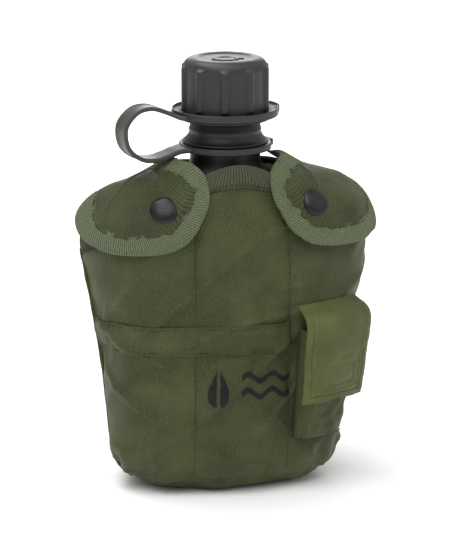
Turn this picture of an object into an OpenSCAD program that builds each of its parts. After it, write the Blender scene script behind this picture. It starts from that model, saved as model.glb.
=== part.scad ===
// One-quart plastic canteen in a nylon belt cover.
// The origin is the centre of the base on the axis of the neck. The front faces -Y and +Z is up.

/* [Bottle] */
// Widest part of the bottle, across the shoulders
bottle_w = 132; // [126:1:138]
// Depth of the bottle, front to back
bottle_d = 66; // [62:1:70]
// Wall of the blown bottle
bottle_wall = 2; // [1.5:0.1:2.5]
// Height of the bottle's base above the surface that the cover stands on
base_z = 7; // [6.8:0.1:7.4]
// Round of the bottle's bottom edge
base_round = 15; // [10:0.5:16]
// How far the ends of the bottle bend back, per square millimetre of half width
hip_bend = 0.001; // [0.0005:0.0001:0.002]

/* [Neck] */
// Height of the top of the shoulder, where the neck starts
neck_z = 166; // [164:1:168]
// Outer radius of the neck
neck_r = 17.6; // [17:0.1:18]
// Radius of the mouth
mouth_r = 12.6; // [11:0.1:13]
// Outer radius of the finish that the cap screws on
finish_r = 16.2; // [15.5:0.1:16.4]
// Height of the lip of the mouth
lip_z = 210.6; // [209:0.1:210.8]

/* [Cap] */
// Height of the cap's bottom rim
cap_z = 187; // [186:0.1:188]
// Height of the cap's top
cap_top_z = 218; // [216:0.5:219]
// Outer radius of the cap over its ribs
cap_r = 22.8; // [22:0.1:23.2]
// Number of grip ribs
cap_ribs = 10; // [8:1:14]

/* [Tether] */
// Width of the tether strap
strap_w = 12; // [9:0.5:14]
// Thickness of the tether strap
strap_t = 2.2; // [1.5:0.1:3]
// Outer radius of the ring around the cap
cap_ring_r = 26.8; // [25:0.1:28]
// Direction in which the strap leaves the neck, from +X
strap_angle = 191; // [180:1:200]

/* [Cover] */
// Thickness of the cover's fabric
fabric_t = 1.25; // [1:0.05:1.4]
// Thickness of the pile lining
pile_t = 4.9; // [4:0.1:4.9]
// Width of the binding tape
tape_w = 9; // [7:0.5:10]
// Height of the bottom seam of the front band
band_z = 75; // [65:0.5:80]
// Width of the front band
band_w = 14.5; // [8:0.5:16]

/* [Flaps] */
// Angle from the shoulder ridge to the tip of a flap
flap_reach = 70.5; // [60:0.5:74]
// Half the width of a flap where it is widest
flap_half = 17; // [12:0.5:18]
// Radius of a snap's cap
snap_r = 7.4; // [6:0.1:8]

/* [Pocket] */
// Height of the pocket's bottom seam
pocket_z = 29; // [25:1:33]
// Height of the pocket's mouth
pocket_mouth_z = 86; // [80:1:87]
// Height of the lower edge of the pocket's flap
pocket_flap_z = 51; // [44:1:58]
// How far the pocket stands out from the cover
pocket_d = 8.6; // [6:0.1:9]

/* [Belt clips] */
// Distance of each belt clip from the middle
clip_x = 27; // [24:1:30]
// Width of a belt clip
clip_w = 17; // [14:0.5:18]
// Height of the belt slot
belt_h = 58; // [56:0.5:60]
// Depth of the belt slot
belt_gap = 8; // [6:0.5:10]

/* [Hidden] */
$fn = 48;

olive = "#4a5038";
olive_light = "#5c6347";
pile_green = "#3f4632";
black_plastic = "#1d1f19";
grey_plastic = "#3d3e39";
snap_black = "#2c2d29";
steel_dark = "#33342f";

// Distances from the bottle's surface, along its normal
liner_in = 0.6;
liner_out = liner_in + pile_t;
panel_in = 5.75;
panel_out = panel_in + fabric_t;
trim_gap = 0.25;
trim_t = 1;
flap_base = 10.3;
flap_root_base = 8.6;
flap_t = 1.1;
pocket_in = panel_out + 0.3;
pocket_out = pocket_in + pocket_d;
tape_t = 0.6;

// Bottle sections: height, half width, half depth, exponent of the outline, bend
half_w = bottle_w / 2;
half_d = bottle_d / 2;
sections = [
    [base_z, 0.76 * half_w, 0.91 * half_d, 2.7, hip_bend],
    [38, 0.805 * half_w, 0.955 * half_d, 2.7, hip_bend],
    [63, 0.845 * half_w, 0.985 * half_d, 2.7, hip_bend],
    [87, 0.9 * half_w, half_d, 2.7, hip_bend],
    [115, 0.975 * half_w, half_d, 2.6, hip_bend],
    [127, half_w, 0.96 * half_d, 2.5, hip_bend],
    [136, 0.96 * half_w, 0.88 * half_d, 2.35, hip_bend],
    [145, 0.725 * half_w, 0.79 * half_d, 2.2, hip_bend],
    [153, 0.52 * half_w, 0.7 * half_d, 2.1, 0.9 * hip_bend],
    [159, 0.365 * half_w, 0.62 * half_d, 2, 0.5 * hip_bend],
    [163, neck_r + 1.4, neck_r + 1.1, 2, 0],
    [neck_z, neck_r + 0.2, neck_r + 0.2, 2, 0],
    [neck_z + 3, neck_r + 0.2, neck_r + 0.2, 2, 0]
];

// ---- The bottle's surface ----

function mixed(a, b, t) = a + (b - a) * t;
function ease(t) = let (c = min(max(t, 0), 1)) c * c * (3 - 2 * c);
function section_slope(i, k) =
    let (lo = max(i - 1, 0), hi = min(i + 1, len(sections) - 1))
    (sections[hi][k] - sections[lo][k]) / (sections[hi][0] - sections[lo][0]);
function section_below(z, i = 0) =
    i >= len(sections) - 2 || z <= sections[i + 1][0] ? i : section_below(z, i + 1);

// One column of the table of sections, read smoothly at a height
function section_at(z, k) =
    let (i = section_below(z), step = sections[i + 1][0] - sections[i][0], t = (z - sections[i][0]) / step)
    (2 * pow(t, 3) - 3 * t * t + 1) * sections[i][k]
    + (pow(t, 3) - 2 * t * t + t) * step * section_slope(i, k)
    + (3 * t * t - 2 * pow(t, 3)) * sections[i + 1][k]
    + (pow(t, 3) - t * t) * step * section_slope(i + 1, k);

// A point on the bottle. rise runs round the bottom edge first and is then the height above base_z.
// turn goes round the bottle from +X, so the front is at 270.
function bottle_point(rise, turn) =
    let (
        edge = 90 * min(max(rise / base_round, 0), 1),
        z = rise < base_round ? base_z + base_round * (1 - cos(edge)) : base_z + rise,
        inset = base_round * (1 - sin(edge)),
        n = section_at(z, 3),
        push = pow(pow(abs(cos(turn)), n) + pow(abs(sin(turn)), n), -1 / n),
        x = (section_at(z, 1) - inset) * push * cos(turn),
        y = (section_at(z, 2) - inset) * push * sin(turn)
    )
    [x, y + section_at(z, 4) * x * x, z];

nudge = 0.2;
function bottle_normal(rise, turn) =
    let (
        low = max(rise - nudge, 0),
        up = bottle_point(low + 2 * nudge, turn) - bottle_point(low, turn),
        along = bottle_point(rise, turn + nudge) - bottle_point(rise, turn - nudge),
        n = cross(along, up)
    )
    rise <= 0 ? [0, 0, -1] : n / norm(n);

// A point that stands off the bottle by a distance along the normal
function off_point(rise, turn, off) = bottle_point(rise, turn) + off * bottle_normal(rise, turn);

// ---- Solids from grids of points ----

// Two triangles for each square of a grid of columns and rows
function grid_faces(cols, rows, first, flip, closed) = [
    for (i = [0 : cols - (closed ? 1 : 2)])
    for (j = [0 : rows - 2])
    let (
        a = first + i * rows + j,
        b = first + ((i + 1) % cols) * rows + j
    )
    each flip ? [[a, b, b + 1], [a, b + 1, a + 1]] : [[a, b + 1, b], [a, a + 1, b + 1]]
];
function edge_faces(a, b, shift, flip) =
    flip ? [[a, b, b + shift], [a, b + shift, a + shift]] : [[a, b + shift, b], [a, a + shift, b + shift]];

// The solid between two grids of the same size, which are lists of columns
module between(outer, inner) {
    cols = len(outer);
    rows = len(outer[0]);
    shift = cols * rows;
    points = [for (grid = [outer, inner]) for (column = grid) each column];
    faces = concat(
        grid_faces(cols, rows, 0, false, false),
        grid_faces(cols, rows, shift, true, false),
        [for (i = [0 : cols - 2]) each edge_faces(i * rows, (i + 1) * rows, shift, true)],
        [for (i = [0 : cols - 2]) each edge_faces((i + 1) * rows - 1, (i + 2) * rows - 1, shift, false)],
        [for (j = [0 : rows - 2]) each edge_faces(j, j + 1, shift, false)],
        [for (j = [0 : rows - 2]) each edge_faces((cols - 1) * rows + j, (cols - 1) * rows + j + 1, shift, true)]
    );
    polyhedron(points, faces, convexity = 8);
}

// The solid whose skin is a list of rings, closed with a fan at each end
module ringed(rings) {
    count = len(rings[0]);
    last = len(rings) - 1;
    middle = function (ring) [for (k = [0 : 2]) [for (p = ring) p[k]] * [for (p = ring) 1] / count];
    points = concat([for (ring = rings) each ring], [middle(rings[0]), middle(rings[last])]);
    low = len(rings) * count;
    faces = concat(
        [for (i = [0 : last - 1]) for (j = [0 : count - 1])
            let (a = i * count + j, b = i * count + (j + 1) % count)
            each [[a, b + count, b], [a, a + count, b + count]]],
        [for (j = [0 : count - 1]) [low, j, (j + 1) % count]],
        [for (j = [0 : count - 1]) [low + 1, last * count + (j + 1) % count, last * count + j]]
    );
    polyhedron(points, faces, convexity = 8);
}

// ---- Fabric panels ----

turn_step = 9;
body_rises = [0, 0.4 * base_round, 0.75 * base_round, 1.1 * base_round, 28, 45, 62, 80, 98];
top_rows = 8;
// Distances inside a bound edge at which the panel and the tape on it both have points
tape_rows = [for (k = [1, 0.84, 0.68, 0.52, 0.36, 0.18]) k * tape_w];
rise_per_mm = 0.85;
// The pile lining ends this far below a bound edge and below a plain edge
bound_drop = tape_w * rise_per_mm + 0.9;
plain_drop = 2;

// Height of the free top edge of the front panel: high in the middle and low at the side seams
edge_mid = neck_z - 7 - base_z;
edge_side = 131 - base_z;
function front_edge(turn) = mixed(edge_mid, edge_side, pow(abs(cos(turn)), 2.2));
back_edge = neck_z - 8 - base_z;

function lining_rises(top) =
    concat(body_rises, [for (j = [1 : top_rows]) mixed(body_rises[len(body_rises) - 1], top, j / top_rows)]);
function front_rises(turn) = concat(
    lining_rises(front_edge(turn) - bound_drop),
    [for (r = tape_rows) front_edge(turn) - r * rise_per_mm],
    [front_edge(turn)]
);
seam_turn = 0.7;
inner_turns = [for (t = [turn_step : turn_step : 180 - turn_step]) t];
function panel_turns(from) =
    concat([from + seam_turn], [for (t = inner_turns) from + t], [from + 180 - seam_turn]);

// A panel is the solid between two distances off the bottle. rises_at gives its heights at a turn.
module panel(from, off_in, off_out, rises_at) {
    grid = function (off) [
        for (turn = panel_turns(from))
        [for (rise = rises_at(turn)) off_point(rise, turn, off)]
    ];
    between(grid(off_out), grid(off_in));
}
// A flat layer of the base, inside the bottom edge of the panels
module base_layer(from_z, to_z, gap) {
    outline = [for (turn = [0 : turn_step : 360 - turn_step]) bottle_point(0, turn)];
    shrink = 1 - gap / outline[0][0];
    translate([0, 0, from_z])
    linear_extrude(to_z - from_z) polygon([for (p = outline) shrink * [p[0], p[1]]]);
}

// A patch of trim that lies on the cover: turns across, rises upwards
module trim_patch(turns, rises, off_in, off_out) {
    between(
        [for (turn = turns) [for (rise = rises) off_point(rise, turn, off_out)]],
        [for (turn = turns) [for (rise = rises) off_point(rise, turn, off_in)]]
    );
}

// A tape folded over a fabric edge. edge_at(u, inset, off) is a point at a distance inside the edge.
// layer is the inner and outer distance of the fabric that the tape holds.
// leg_in and leg_out are how far each leg of the tape reaches from the fabric.
module folded_tape(us, edge_at, layer, leg_in, leg_out) {
    over = 1;
    clear = 0.3;
    skin = 0.4;
    back = [for (k = [len(tape_rows) - 1 : -1 : 0]) tape_rows[k]];
    outside = function (u) concat(
        [for (r = tape_rows) edge_at(u, r, layer[1] + leg_out)],
        [edge_at(u, -over, layer[1] + leg_out)],
        [edge_at(u, -over, layer[0] - leg_in)],
        [for (r = back) edge_at(u, r, layer[0] - leg_in)]
    );
    inside = function (u) concat(
        [for (r = tape_rows) edge_at(u, r, layer[1] + skin)],
        [edge_at(u, -clear, layer[1] + skin)],
        [edge_at(u, -clear, layer[0] - skin)],
        [for (r = back) edge_at(u, r, layer[0] - skin)]
    );
    between([for (u = us) outside(u)], [for (u = us) inside(u)]);
}

// ---- Shoulder flaps ----

// Angles are measured from the shoulder ridge towards the front, on the right-hand side
flap_back = 8;
flap_round_from = 40;
flap_mid_z = [147, 143, 141.5];
flap_half_root = 13;
tip_power = 2.6;
deg_per_mm = 1.05;

function flap_mid(angle) =
    angle < flap_round_from
    ? mixed(flap_mid_z[0], flap_mid_z[1], ease(angle / flap_round_from))
    : mixed(flap_mid_z[1], flap_mid_z[2], (angle - flap_round_from) / (flap_reach - flap_round_from));
function flap_width(angle) = mixed(flap_half_root, flap_half, ease(angle / flap_round_from));
function flap_off(angle) = mixed(flap_root_base, flap_base, ease((angle + flap_back) / 26));

// A point of the flap's outline as [angle, z]. u is 1 at the hinge, 0 at the tip, negative on the lower edge.
straight_part = 0.45;
function flap_edge(u, inset) =
    let (
        size = abs(u),
        q = 90 * (1 - min(size / (1 - straight_part), 1)),
        angle = size > 1 - straight_part
            ? mixed(flap_round_from, -flap_back, (size - 1 + straight_part) / straight_part)
            : flap_round_from + (flap_reach - flap_round_from - inset * deg_per_mm) * sin(q),
        narrow = pow(max(1 - pow(sin(q), tip_power), 0), 1 / tip_power)
    )
    [angle, flap_mid(angle) + sign(u) * narrow * (flap_width(angle) - inset * rise_per_mm)];
function flap_point(at, off) = off_point(at[1] - base_z, 360 - at[0], flap_off(at[0]) + off);
flap_cols = 16;
function flap_grid(off, inset, us) = [
    for (u = us)
    [for (j = [0 : flap_cols]) flap_point(mixed(flap_edge(-u, inset), flap_edge(u, inset), j / flap_cols), off)]
];
flap_us = [1, 0.94, 0.88, 0.82, 0.76, 0.7, 0.64, 0.55, 0.5, 0.45, 0.4, 0.35, 0.3, 0.25, 0.2, 0.15, 0.1, 0.05];
liner_us = [for (k = [4 : len(flap_us) - 1]) flap_us[k]];
binding_side = [0.05, 0.1, 0.15, 0.2, 0.25, 0.3, 0.35, 0.4, 0.45, 0.5, 0.55, 0.64, 0.7, 0.76, 0.82, 0.88, 0.94];
binding_us = concat([for (k = [len(binding_side) - 1 : -1 : 0]) -binding_side[k]], [0], binding_side);

// Where the snap sits, as [angle, z]
snap_at = [53, 141];
snap_point = bottle_point(snap_at[1] - base_z, 360 - snap_at[0]);
snap_normal = bottle_normal(snap_at[1] - base_z, 360 - snap_at[0]);
module at_snap() {
    translate(snap_point) rotate([0, acos(snap_normal[2]), atan2(snap_normal[1], snap_normal[0])]) children();
}
module ring(r_in, r_out, z_from, z_to) {
    translate([0, 0, z_from]) difference() {
        cylinder(r = r_out, h = z_to - z_from);
        translate([0, 0, -1]) cylinder(r = r_in, h = z_to - z_from + 2);
    }
}
module disc(r, z_from, z_to) {
    translate([0, 0, z_from]) cylinder(r = r, h = z_to - z_from);
}

// A hole for the snap through a layer, from inside the bottle to beyond the flap
module snap_hole(r) {
    at_snap() disc(r, 3, 16);
}

cap_stem_r = 2.3;
socket_r = 5.6;
socket_bore_r = 3.6;
stud_r = 5.2;
knob_r = 2.8;
post_r = 1.8;
post_head_r = 5;
module flap_cloth() {
    difference() {
        between(flap_grid(flap_t, 0, flap_us), flap_grid(0, 0, flap_us));
        snap_hole(cap_stem_r + 0.4);
    }
}
module flap_pile() {
    difference() {
        between(flap_grid(-0.2, tape_w + 1, liner_us), flap_grid(-1.9, tape_w + 1, liner_us));
        snap_hole(socket_r + 0.6);
    }
}
module flap_tape() {
    edge_at = function (u, inset, off) flap_point(flap_edge(u, inset), off);
    folded_tape(binding_us, edge_at, [0, flap_t], 0.75, 0.8);
}
module snap_cap() {
    dome_z = flap_base + flap_t + 0.15;
    rim_h = 0.6;
    dome_h = 2.8;
    at_snap() {
        translate([0, 0, dome_z]) rotate_extrude() polygon(concat(
            [[0, 0], [snap_r - rim_h, 0], [snap_r, rim_h]],
            [for (a = [15 : 15 : 90]) [snap_r * cos(a), rim_h + dome_h * sin(a)]]));
        disc(cap_stem_r, flap_base - 0.5, dome_z + 0.5);
    }
}
module snap_socket() {
    at_snap() ring(socket_bore_r, socket_r, flap_base - 2.1, flap_base - 0.7);
}
module snap_stud() {
    at_snap() {
        ring(post_r + 0.15, stud_r, panel_out + 0.15, panel_out + 0.75);
        ring(post_r + 0.15, knob_r, panel_out + 0.5, panel_out + 2.2);
    }
}
module snap_post() {
    at_snap() {
        disc(post_head_r, panel_in - 1.75, panel_in - 0.75);
        disc(post_r, panel_in - 1, panel_out + 2);
    }
}

// ---- Bottle, cap and tether ----

module bottle() {
    turns = [for (turn = [0 : turn_step : 360 - turn_step]) turn];
    outer_rises = concat(body_rises, [108, 115, 121, 126, 131, 136, 141, 146, 151, 155, neck_z - base_z]);
    inner_rises = [for (j = [len(outer_rises) - 1 : -1 : 1]) outer_rises[j]];
    neck_bead = 21.5;
    groove_r = 16.9;
    step_z = 171.6;
    bead_z = 175.4;
    color(black_plastic) union() {
        ringed(concat(
            [for (rise = outer_rises) [for (turn = turns) bottle_point(rise, turn)]],
            [for (rise = inner_rises) [for (turn = turns) off_point(rise, turn, -bottle_wall)]]
        ));
        rotate_extrude() polygon([
            [neck_r - 1.5, neck_z - 1], [neck_r, neck_z - 1], [neck_r, step_z], [groove_r, step_z],
            [groove_r, bead_z], [neck_bead, bead_z], [neck_bead, bead_z + 1], [neck_r, bead_z + 4],
            [neck_r, cap_z - 1], [finish_r, cap_z - 0.4], [finish_r, lip_z - 0.8], [finish_r - 0.8, lip_z],
            [mouth_r, lip_z], [mouth_r, cap_z], [neck_r - 1.5, cap_z - 4]
        ]);
    }
}
groove_z = cap_z + 1.4;
rib_z = cap_z + 5;
module cap() {
    skirt_r = cap_r - 1.6;
    rib_r = 2.1;
    bore_r = 16.9;
    roof_z = lip_z + 2;
    round_r = 4.5;
    color(grey_plastic) {
        rotate_extrude() polygon(concat(
            [[bore_r, cap_z], [cap_r - 0.4, cap_z], [cap_r, cap_z + 0.4], [cap_r, groove_z],
             [skirt_r, groove_z], [skirt_r, cap_top_z - round_r]],
            [for (a = [15 : 15 : 90]) [skirt_r - round_r * (1 - cos(a)), cap_top_z - round_r * (1 - sin(a))]],
            [[0, cap_top_z], [0, roof_z], [bore_r, roof_z]]));
        for (k = [0 : cap_ribs - 1]) rotate(256 + 360 * k / cap_ribs) translate([0, 0, rib_z])
            linear_extrude(cap_top_z - round_r - rib_z - 0.7)
            polygon([
                [skirt_r - 1, -rib_r], [cap_r - 0.6, -rib_r + 0.4], [cap_r, -rib_r + 1.2],
                [cap_r, rib_r - 1.2], [cap_r - 0.6, rib_r - 0.4], [skirt_r - 1, rib_r]
            ]);
    }
}
module cap_gasket() {
    color("#a8a596") disc(16.6, lip_z + 0.3, lip_z + 1.9);
}
ring_gap = 0.35;
module tether_cap_ring() {
    ring_in = cap_r - 1.6 + ring_gap;
    color(grey_plastic) difference() {
        union() {
            disc(cap_ring_r, groove_z + ring_gap, rib_z - ring_gap);
            rotate(strap_angle + 180) translate([cap_ring_r - 3, -5, groove_z + ring_gap]) cube([4.5, 10, 4.6]);
        }
        disc(ring_in, groove_z - 1, rib_z + 6);
        translate([0, 0, rib_z - ring_gap]) disc(cap_ring_r - 1, 0, 6);
    }
}
neck_ring_r = 23.3;
neck_ring_z = 171.8;
neck_ring_h = 3.3;
module tether_neck_ring() {
    color(grey_plastic) difference() {
        union() {
            disc(neck_ring_r, neck_ring_z, neck_ring_z + neck_ring_h);
            rotate(strap_angle + 180) translate([neck_ring_r - 3, -4, neck_ring_z]) cube([5.5, 8, neck_ring_h]);
        }
        disc(17.15, neck_ring_z - 2, neck_ring_z + neck_ring_h + 2);
    }
}
// The strap's route in the upright plane that it lies in: distance from the axis, height
strap_route = [
    [26.9, 190.2], [33, 192], [42, 194.2], [50, 192.6], [55.5, 186], [54.5, 177],
    [48, 171], [40, 169.8], [33, 171.2], [28, 172.8], [23.8, 173.4]
];
function spline(points, i, t) =
    let (
        last = len(points) - 1,
        a = points[max(i - 1, 0)], b = points[i], c = points[i + 1], d = points[min(i + 2, last)]
    )
    0.5 * ((2 * b) + (c - a) * t + (2 * a - 5 * b + 4 * c - d) * t * t + (3 * b - a - 3 * c + d) * pow(t, 3));
module tether_strap() {
    line = concat(
        [for (i = [0 : len(strap_route) - 2]) for (t = [0 : 0.25 : 0.75]) spline(strap_route, i, t)],
        [strap_route[len(strap_route) - 1]]);
    sides = [for (i = [0 : len(line) - 1])
        let (step = line[min(i + 1, len(line) - 1)] - line[max(i - 1, 0)], n = [-step[1], step[0]] / norm(step))
        [line[i] + n * strap_t / 2, line[i] - n * strap_t / 2]];
    color(grey_plastic) rotate(strap_angle) translate([0, strap_w / 2, 0]) rotate([90, 0, 0])
        linear_extrude(strap_w)
        polygon(concat([for (s = sides) s[0]], [for (i = [len(sides) - 1 : -1 : 0]) sides[i][1]]));
}

// ---- Cover ----

module cover_front_panel() {
    color(olive) difference() {
        panel(180, panel_in, panel_out, function (turn) front_rises(turn));
        snap_hole(post_r + 0.3);
        mirror([1, 0, 0]) snap_hole(post_r + 0.3);
    }
}
module cover_back_panel() {
    rises = concat(lining_rises(back_edge - plain_drop), [back_edge]);
    color(olive) panel(0, panel_in, panel_out, function (turn) rises);
}
drain_y = 7.4;
drain_flange_r = 6.4;
drain_barrel_r = 3.9;
drain_hole_r = 3.2;
module cover_base_panel() {
    color(olive) difference() {
        base_layer(0, fabric_t, 0.3);
        translate([0, drain_y, 0]) disc(drain_flange_r + 0.3, -1, 0.65);
        translate([0, drain_y, 0]) disc(drain_barrel_r + 0.2, -1, 3);
    }
}
module liner_front() {
    color(pile_green) difference() {
        panel(180, liner_in, liner_out, function (turn) lining_rises(front_edge(turn) - bound_drop));
        snap_hole(post_head_r + 0.5);
        mirror([1, 0, 0]) snap_hole(post_head_r + 0.5);
    }
}
module liner_back() {
    color(pile_green) panel(0, liner_in, liner_out, function (turn) lining_rises(back_edge - plain_drop));
}
module liner_base() {
    color(pile_green) difference() {
        base_layer(base_z - liner_out, base_z - liner_in, 0.3);
        translate([0, drain_y, 0]) disc(drain_flange_r + 0.8, -1, 20);
    }
}
module drain_grommet() {
    color(steel_dark) translate([0, drain_y, 0]) {
        ring(drain_hole_r, drain_flange_r, 0.05, 0.55);
        ring(drain_hole_r, drain_barrel_r, 0.3, 2.4);
    }
}
module drain_washer() {
    color(steel_dark) translate([0, drain_y, 0])
        ring(drain_barrel_r + 0.1, drain_flange_r, fabric_t + 0.1, fabric_t + 0.8);
}
module collar_binding() {
    turns = panel_turns(180);
    edge_at = function (turn, inset, off) off_point(front_edge(turn) - inset * rise_per_mm, turn, off);
    color(olive_light) difference() {
        folded_tape(turns, edge_at, [panel_in, panel_out], 0.75, 0.75);
        snap_hole(post_head_r + 0.5);
        mirror([1, 0, 0]) snap_hole(post_head_r + 0.5);
    }
}
module side_seam() {
    half_turn = 5;
    clear = trim_gap + 0.25;
    rises = concat([for (r = body_rises) if (r > 0.5 * base_round) r], [106, 113]);
    trim_patch([-half_turn, 0, half_turn], rises, panel_out + clear, panel_out + clear + trim_t);
}
module side_seam_left() {
    color(olive_light) mirror([1, 0, 0]) side_seam();
}
module side_seam_right() {
    color(olive_light) side_seam();
}
pocket_turns = [for (t = [294 : 4 : 326]) t];
module front_band() {
    turns = concat([for (t = [187 : 7 : 284]) t], [291.5]);
    rises = [for (z = [band_z, band_z + band_w / 2, band_z + band_w]) z - base_z];
    color(olive_light) trim_patch(turns, rises, panel_out + trim_gap, panel_out + trim_gap + trim_t);
}

module flap_right() {
    color(olive) flap_cloth();
}
module flap_right_liner() {
    color(pile_green) flap_pile();
}
module flap_right_binding() {
    color(olive_light) flap_tape();
}
module flap_left() {
    color(olive) mirror([1, 0, 0]) flap_cloth();
}
module flap_left_liner() {
    color(pile_green) mirror([1, 0, 0]) flap_pile();
}
module flap_left_binding() {
    color(olive_light) mirror([1, 0, 0]) flap_tape();
}
module snap_cap_right() {
    color(snap_black) snap_cap();
}
module snap_socket_right() {
    color(snap_black) snap_socket();
}
module snap_stud_right() {
    color(snap_black) snap_stud();
}
module snap_post_right() {
    color(snap_black) snap_post();
}
module snap_cap_left() {
    color(snap_black) mirror([1, 0, 0]) snap_cap();
}
module snap_socket_left() {
    color(snap_black) mirror([1, 0, 0]) snap_socket();
}
module snap_stud_left() {
    color(snap_black) mirror([1, 0, 0]) snap_stud();
}
module snap_post_left() {
    color(snap_black) mirror([1, 0, 0]) snap_post();
}

// ---- Pocket ----

// A profile of [z, distance] pairs drawn out along the turns of the pocket
function pocket_grid(profile, turns) = [
    for (turn = turns) [for (p = profile) off_point(p[0] - base_z, turn, p[1])]
];
pocket_wall = 1.1;
module pocket_body() {
    hollow_turns = concat(
        [pocket_turns[0] + 1.2],
        [for (i = [1 : len(pocket_turns) - 2]) pocket_turns[i]],
        [pocket_turns[len(pocket_turns) - 1] - 1.5]
    );
    rows = [0, 0.2, 0.4, 0.6, 0.8, 1];
    outer = function (off) [for (t = rows) [mixed(pocket_z, pocket_mouth_z, t), off]];
    hollow = function (off) [for (t = rows) [mixed(pocket_z + pocket_wall, pocket_mouth_z + 3, t), off]];
    color(olive) difference() {
        between(pocket_grid(outer(pocket_out), pocket_turns), pocket_grid(outer(pocket_in), pocket_turns));
        between(
            pocket_grid(hollow(pocket_out - pocket_wall), hollow_turns),
            pocket_grid(hollow(pocket_in + pocket_wall), hollow_turns)
        );
    }
}
fold_z = 92.5;
fold_off = pocket_out + 0.8;
flap_turns = concat([293], [for (i = [1 : len(pocket_turns) - 2]) pocket_turns[i]], [327]);
module pocket_flap_root() {
    middle = 0.6 * pocket_out;
    upper = [[fold_z + 4, pocket_in], [fold_z + 2.2, middle], [fold_z + 0.4, fold_off]];
    lower = [[fold_z + 2, pocket_in], [fold_z + 0.9, middle], [fold_z - 0.6, fold_off - 0.4]];
    color(olive_light) between(pocket_grid(upper, flap_turns), pocket_grid(lower, flap_turns));
}
module pocket_flap() {
    off = pocket_out + 1.75;
    rows = [fold_z, fold_z - 4, 81, 73, 65, 58, pocket_flap_z];
    bend = function (z) off - (z == fold_z ? 0.6 : 0);
    color(olive_light) between(
        pocket_grid([for (z = rows) [z, bend(z) + 1.1]], flap_turns),
        pocket_grid([for (z = rows) [z, bend(z)]], flap_turns)
    );
}
tape_turns = [for (t = [300 : 4.5 : 318]) t];
module pocket_tape(off) {
    profile = function (off) [[54, off], [62, off], [70, off]];
    color(pile_green) between(pocket_grid(profile(off + tape_t), tape_turns), pocket_grid(profile(off), tape_turns));
}
module pocket_loop_tape() {
    pocket_tape(pocket_out + 0.1);
}
module pocket_hook_tape() {
    pocket_tape(pocket_out + 1.05);
}

// ---- Belt clips on the back ----

back_y = half_d + panel_out;
keeper_z = [84, 122];
plate_t = 1.5;
clip_low = 70;
clip_high = clip_low + belt_h;
clip_y = back_y + 0.85;
bar_y = clip_y + plate_t + belt_gap;
module clip_keeper() {
    webbing_t = 1.3;
    ramp = 3;
    reach = clip_x + clip_w / 2 + 9;
    half_tunnel = clip_w / 2 + 0.8;
    // Inner face of the webbing: along the cover, and past the clip plate in each tunnel
    half = [
        [clip_x - half_tunnel - ramp, back_y + 0.5], [clip_x - half_tunnel, clip_y + plate_t + 0.35],
        [clip_x + half_tunnel, clip_y + plate_t + 0.35], [clip_x + half_tunnel + ramp, back_y - 1.8],
        [reach, back_y - 3.1]
    ];
    inner = concat([for (i = [len(half) - 1 : -1 : 0]) [-half[i][0], half[i][1]]], half);
    color(olive_light) translate([0, 0, keeper_z[0]]) linear_extrude(keeper_z[1] - keeper_z[0])
        polygon(concat(
            [for (p = inner) [p[0], p[1] + webbing_t]],
            [for (i = [len(inner) - 1 : -1 : 0]) inner[i]]
        ));
}
bar_w = 10;
tip_w = 6;
slot_gap = 0.4;
shelf_y = bar_y + 2 * plate_t + 1.6 - clip_y;
// A level plate of the frame with a slot for the bar
module clip_shelf(z, slot_w) {
    difference() {
        translate([clip_x - clip_w / 2, clip_y, z]) cube([clip_w, shelf_y, plate_t]);
        translate([clip_x - slot_w / 2 - slot_gap, bar_y - slot_gap, z - 1])
            cube([slot_w + 2 * slot_gap, plate_t + 2 * slot_gap, plate_t + 2]);
    }
}
module clip_frame() {
    translate([clip_x - clip_w / 2, clip_y, clip_low]) cube([clip_w, plate_t, belt_h]);
    clip_shelf(clip_high, bar_w);
    clip_shelf(clip_low - plate_t, tip_w);
}
module clip_slide() {
    head_w = 14;
    head_h = 2.6;
    tip_l = 2;
    // Bar behind the belt, tip in the lower slot, head above the frame for the thumb
    translate([clip_x - bar_w / 2, bar_y, clip_low + slot_gap]) cube([bar_w, plate_t, belt_h + plate_t + head_h]);
    translate([clip_x - tip_w / 2, bar_y, clip_low - plate_t - tip_l]) cube([tip_w, plate_t, plate_t + tip_l + 1]);
    translate([clip_x - head_w / 2, bar_y - 1, clip_high + plate_t + slot_gap]) cube([head_w, plate_t + 4, head_h]);
}
module clip_frame_right() {
    color(steel_dark) clip_frame();
}
module clip_frame_left() {
    color(steel_dark) mirror([1, 0, 0]) clip_frame();
}
module clip_slide_right() {
    color(steel_dark) clip_slide();
}
module clip_slide_left() {
    color(steel_dark) mirror([1, 0, 0]) clip_slide();
}

bottle();
cap();
cap_gasket();
tether_cap_ring();
tether_strap();
tether_neck_ring();
cover_front_panel();
cover_back_panel();
cover_base_panel();
liner_front();
liner_back();
liner_base();
collar_binding();
side_seam_left();
side_seam_right();
front_band();
flap_left();
flap_left_liner();
flap_left_binding();
flap_right();
flap_right_liner();
flap_right_binding();
snap_cap_left();
snap_socket_left();
snap_stud_left();
snap_post_left();
snap_cap_right();
snap_socket_right();
snap_stud_right();
snap_post_right();
pocket_body();
pocket_flap_root();
pocket_flap();
pocket_hook_tape();
pocket_loop_tape();
clip_keeper();
clip_frame_left();
clip_frame_right();
clip_slide_left();
clip_slide_right();
drain_grommet();
drain_washer();
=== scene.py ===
"""Looks of the canteen in its belt cover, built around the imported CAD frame.

Shapes are worked out in millimetres in the CAD frame and turned into metres by mesh_piece().
A turn is an angle round the bottle from +X in degrees, so the front is at 270.
A rise runs round the bottle's bottom edge first and is then the height above the bottle's base.
"""
import math

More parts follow.
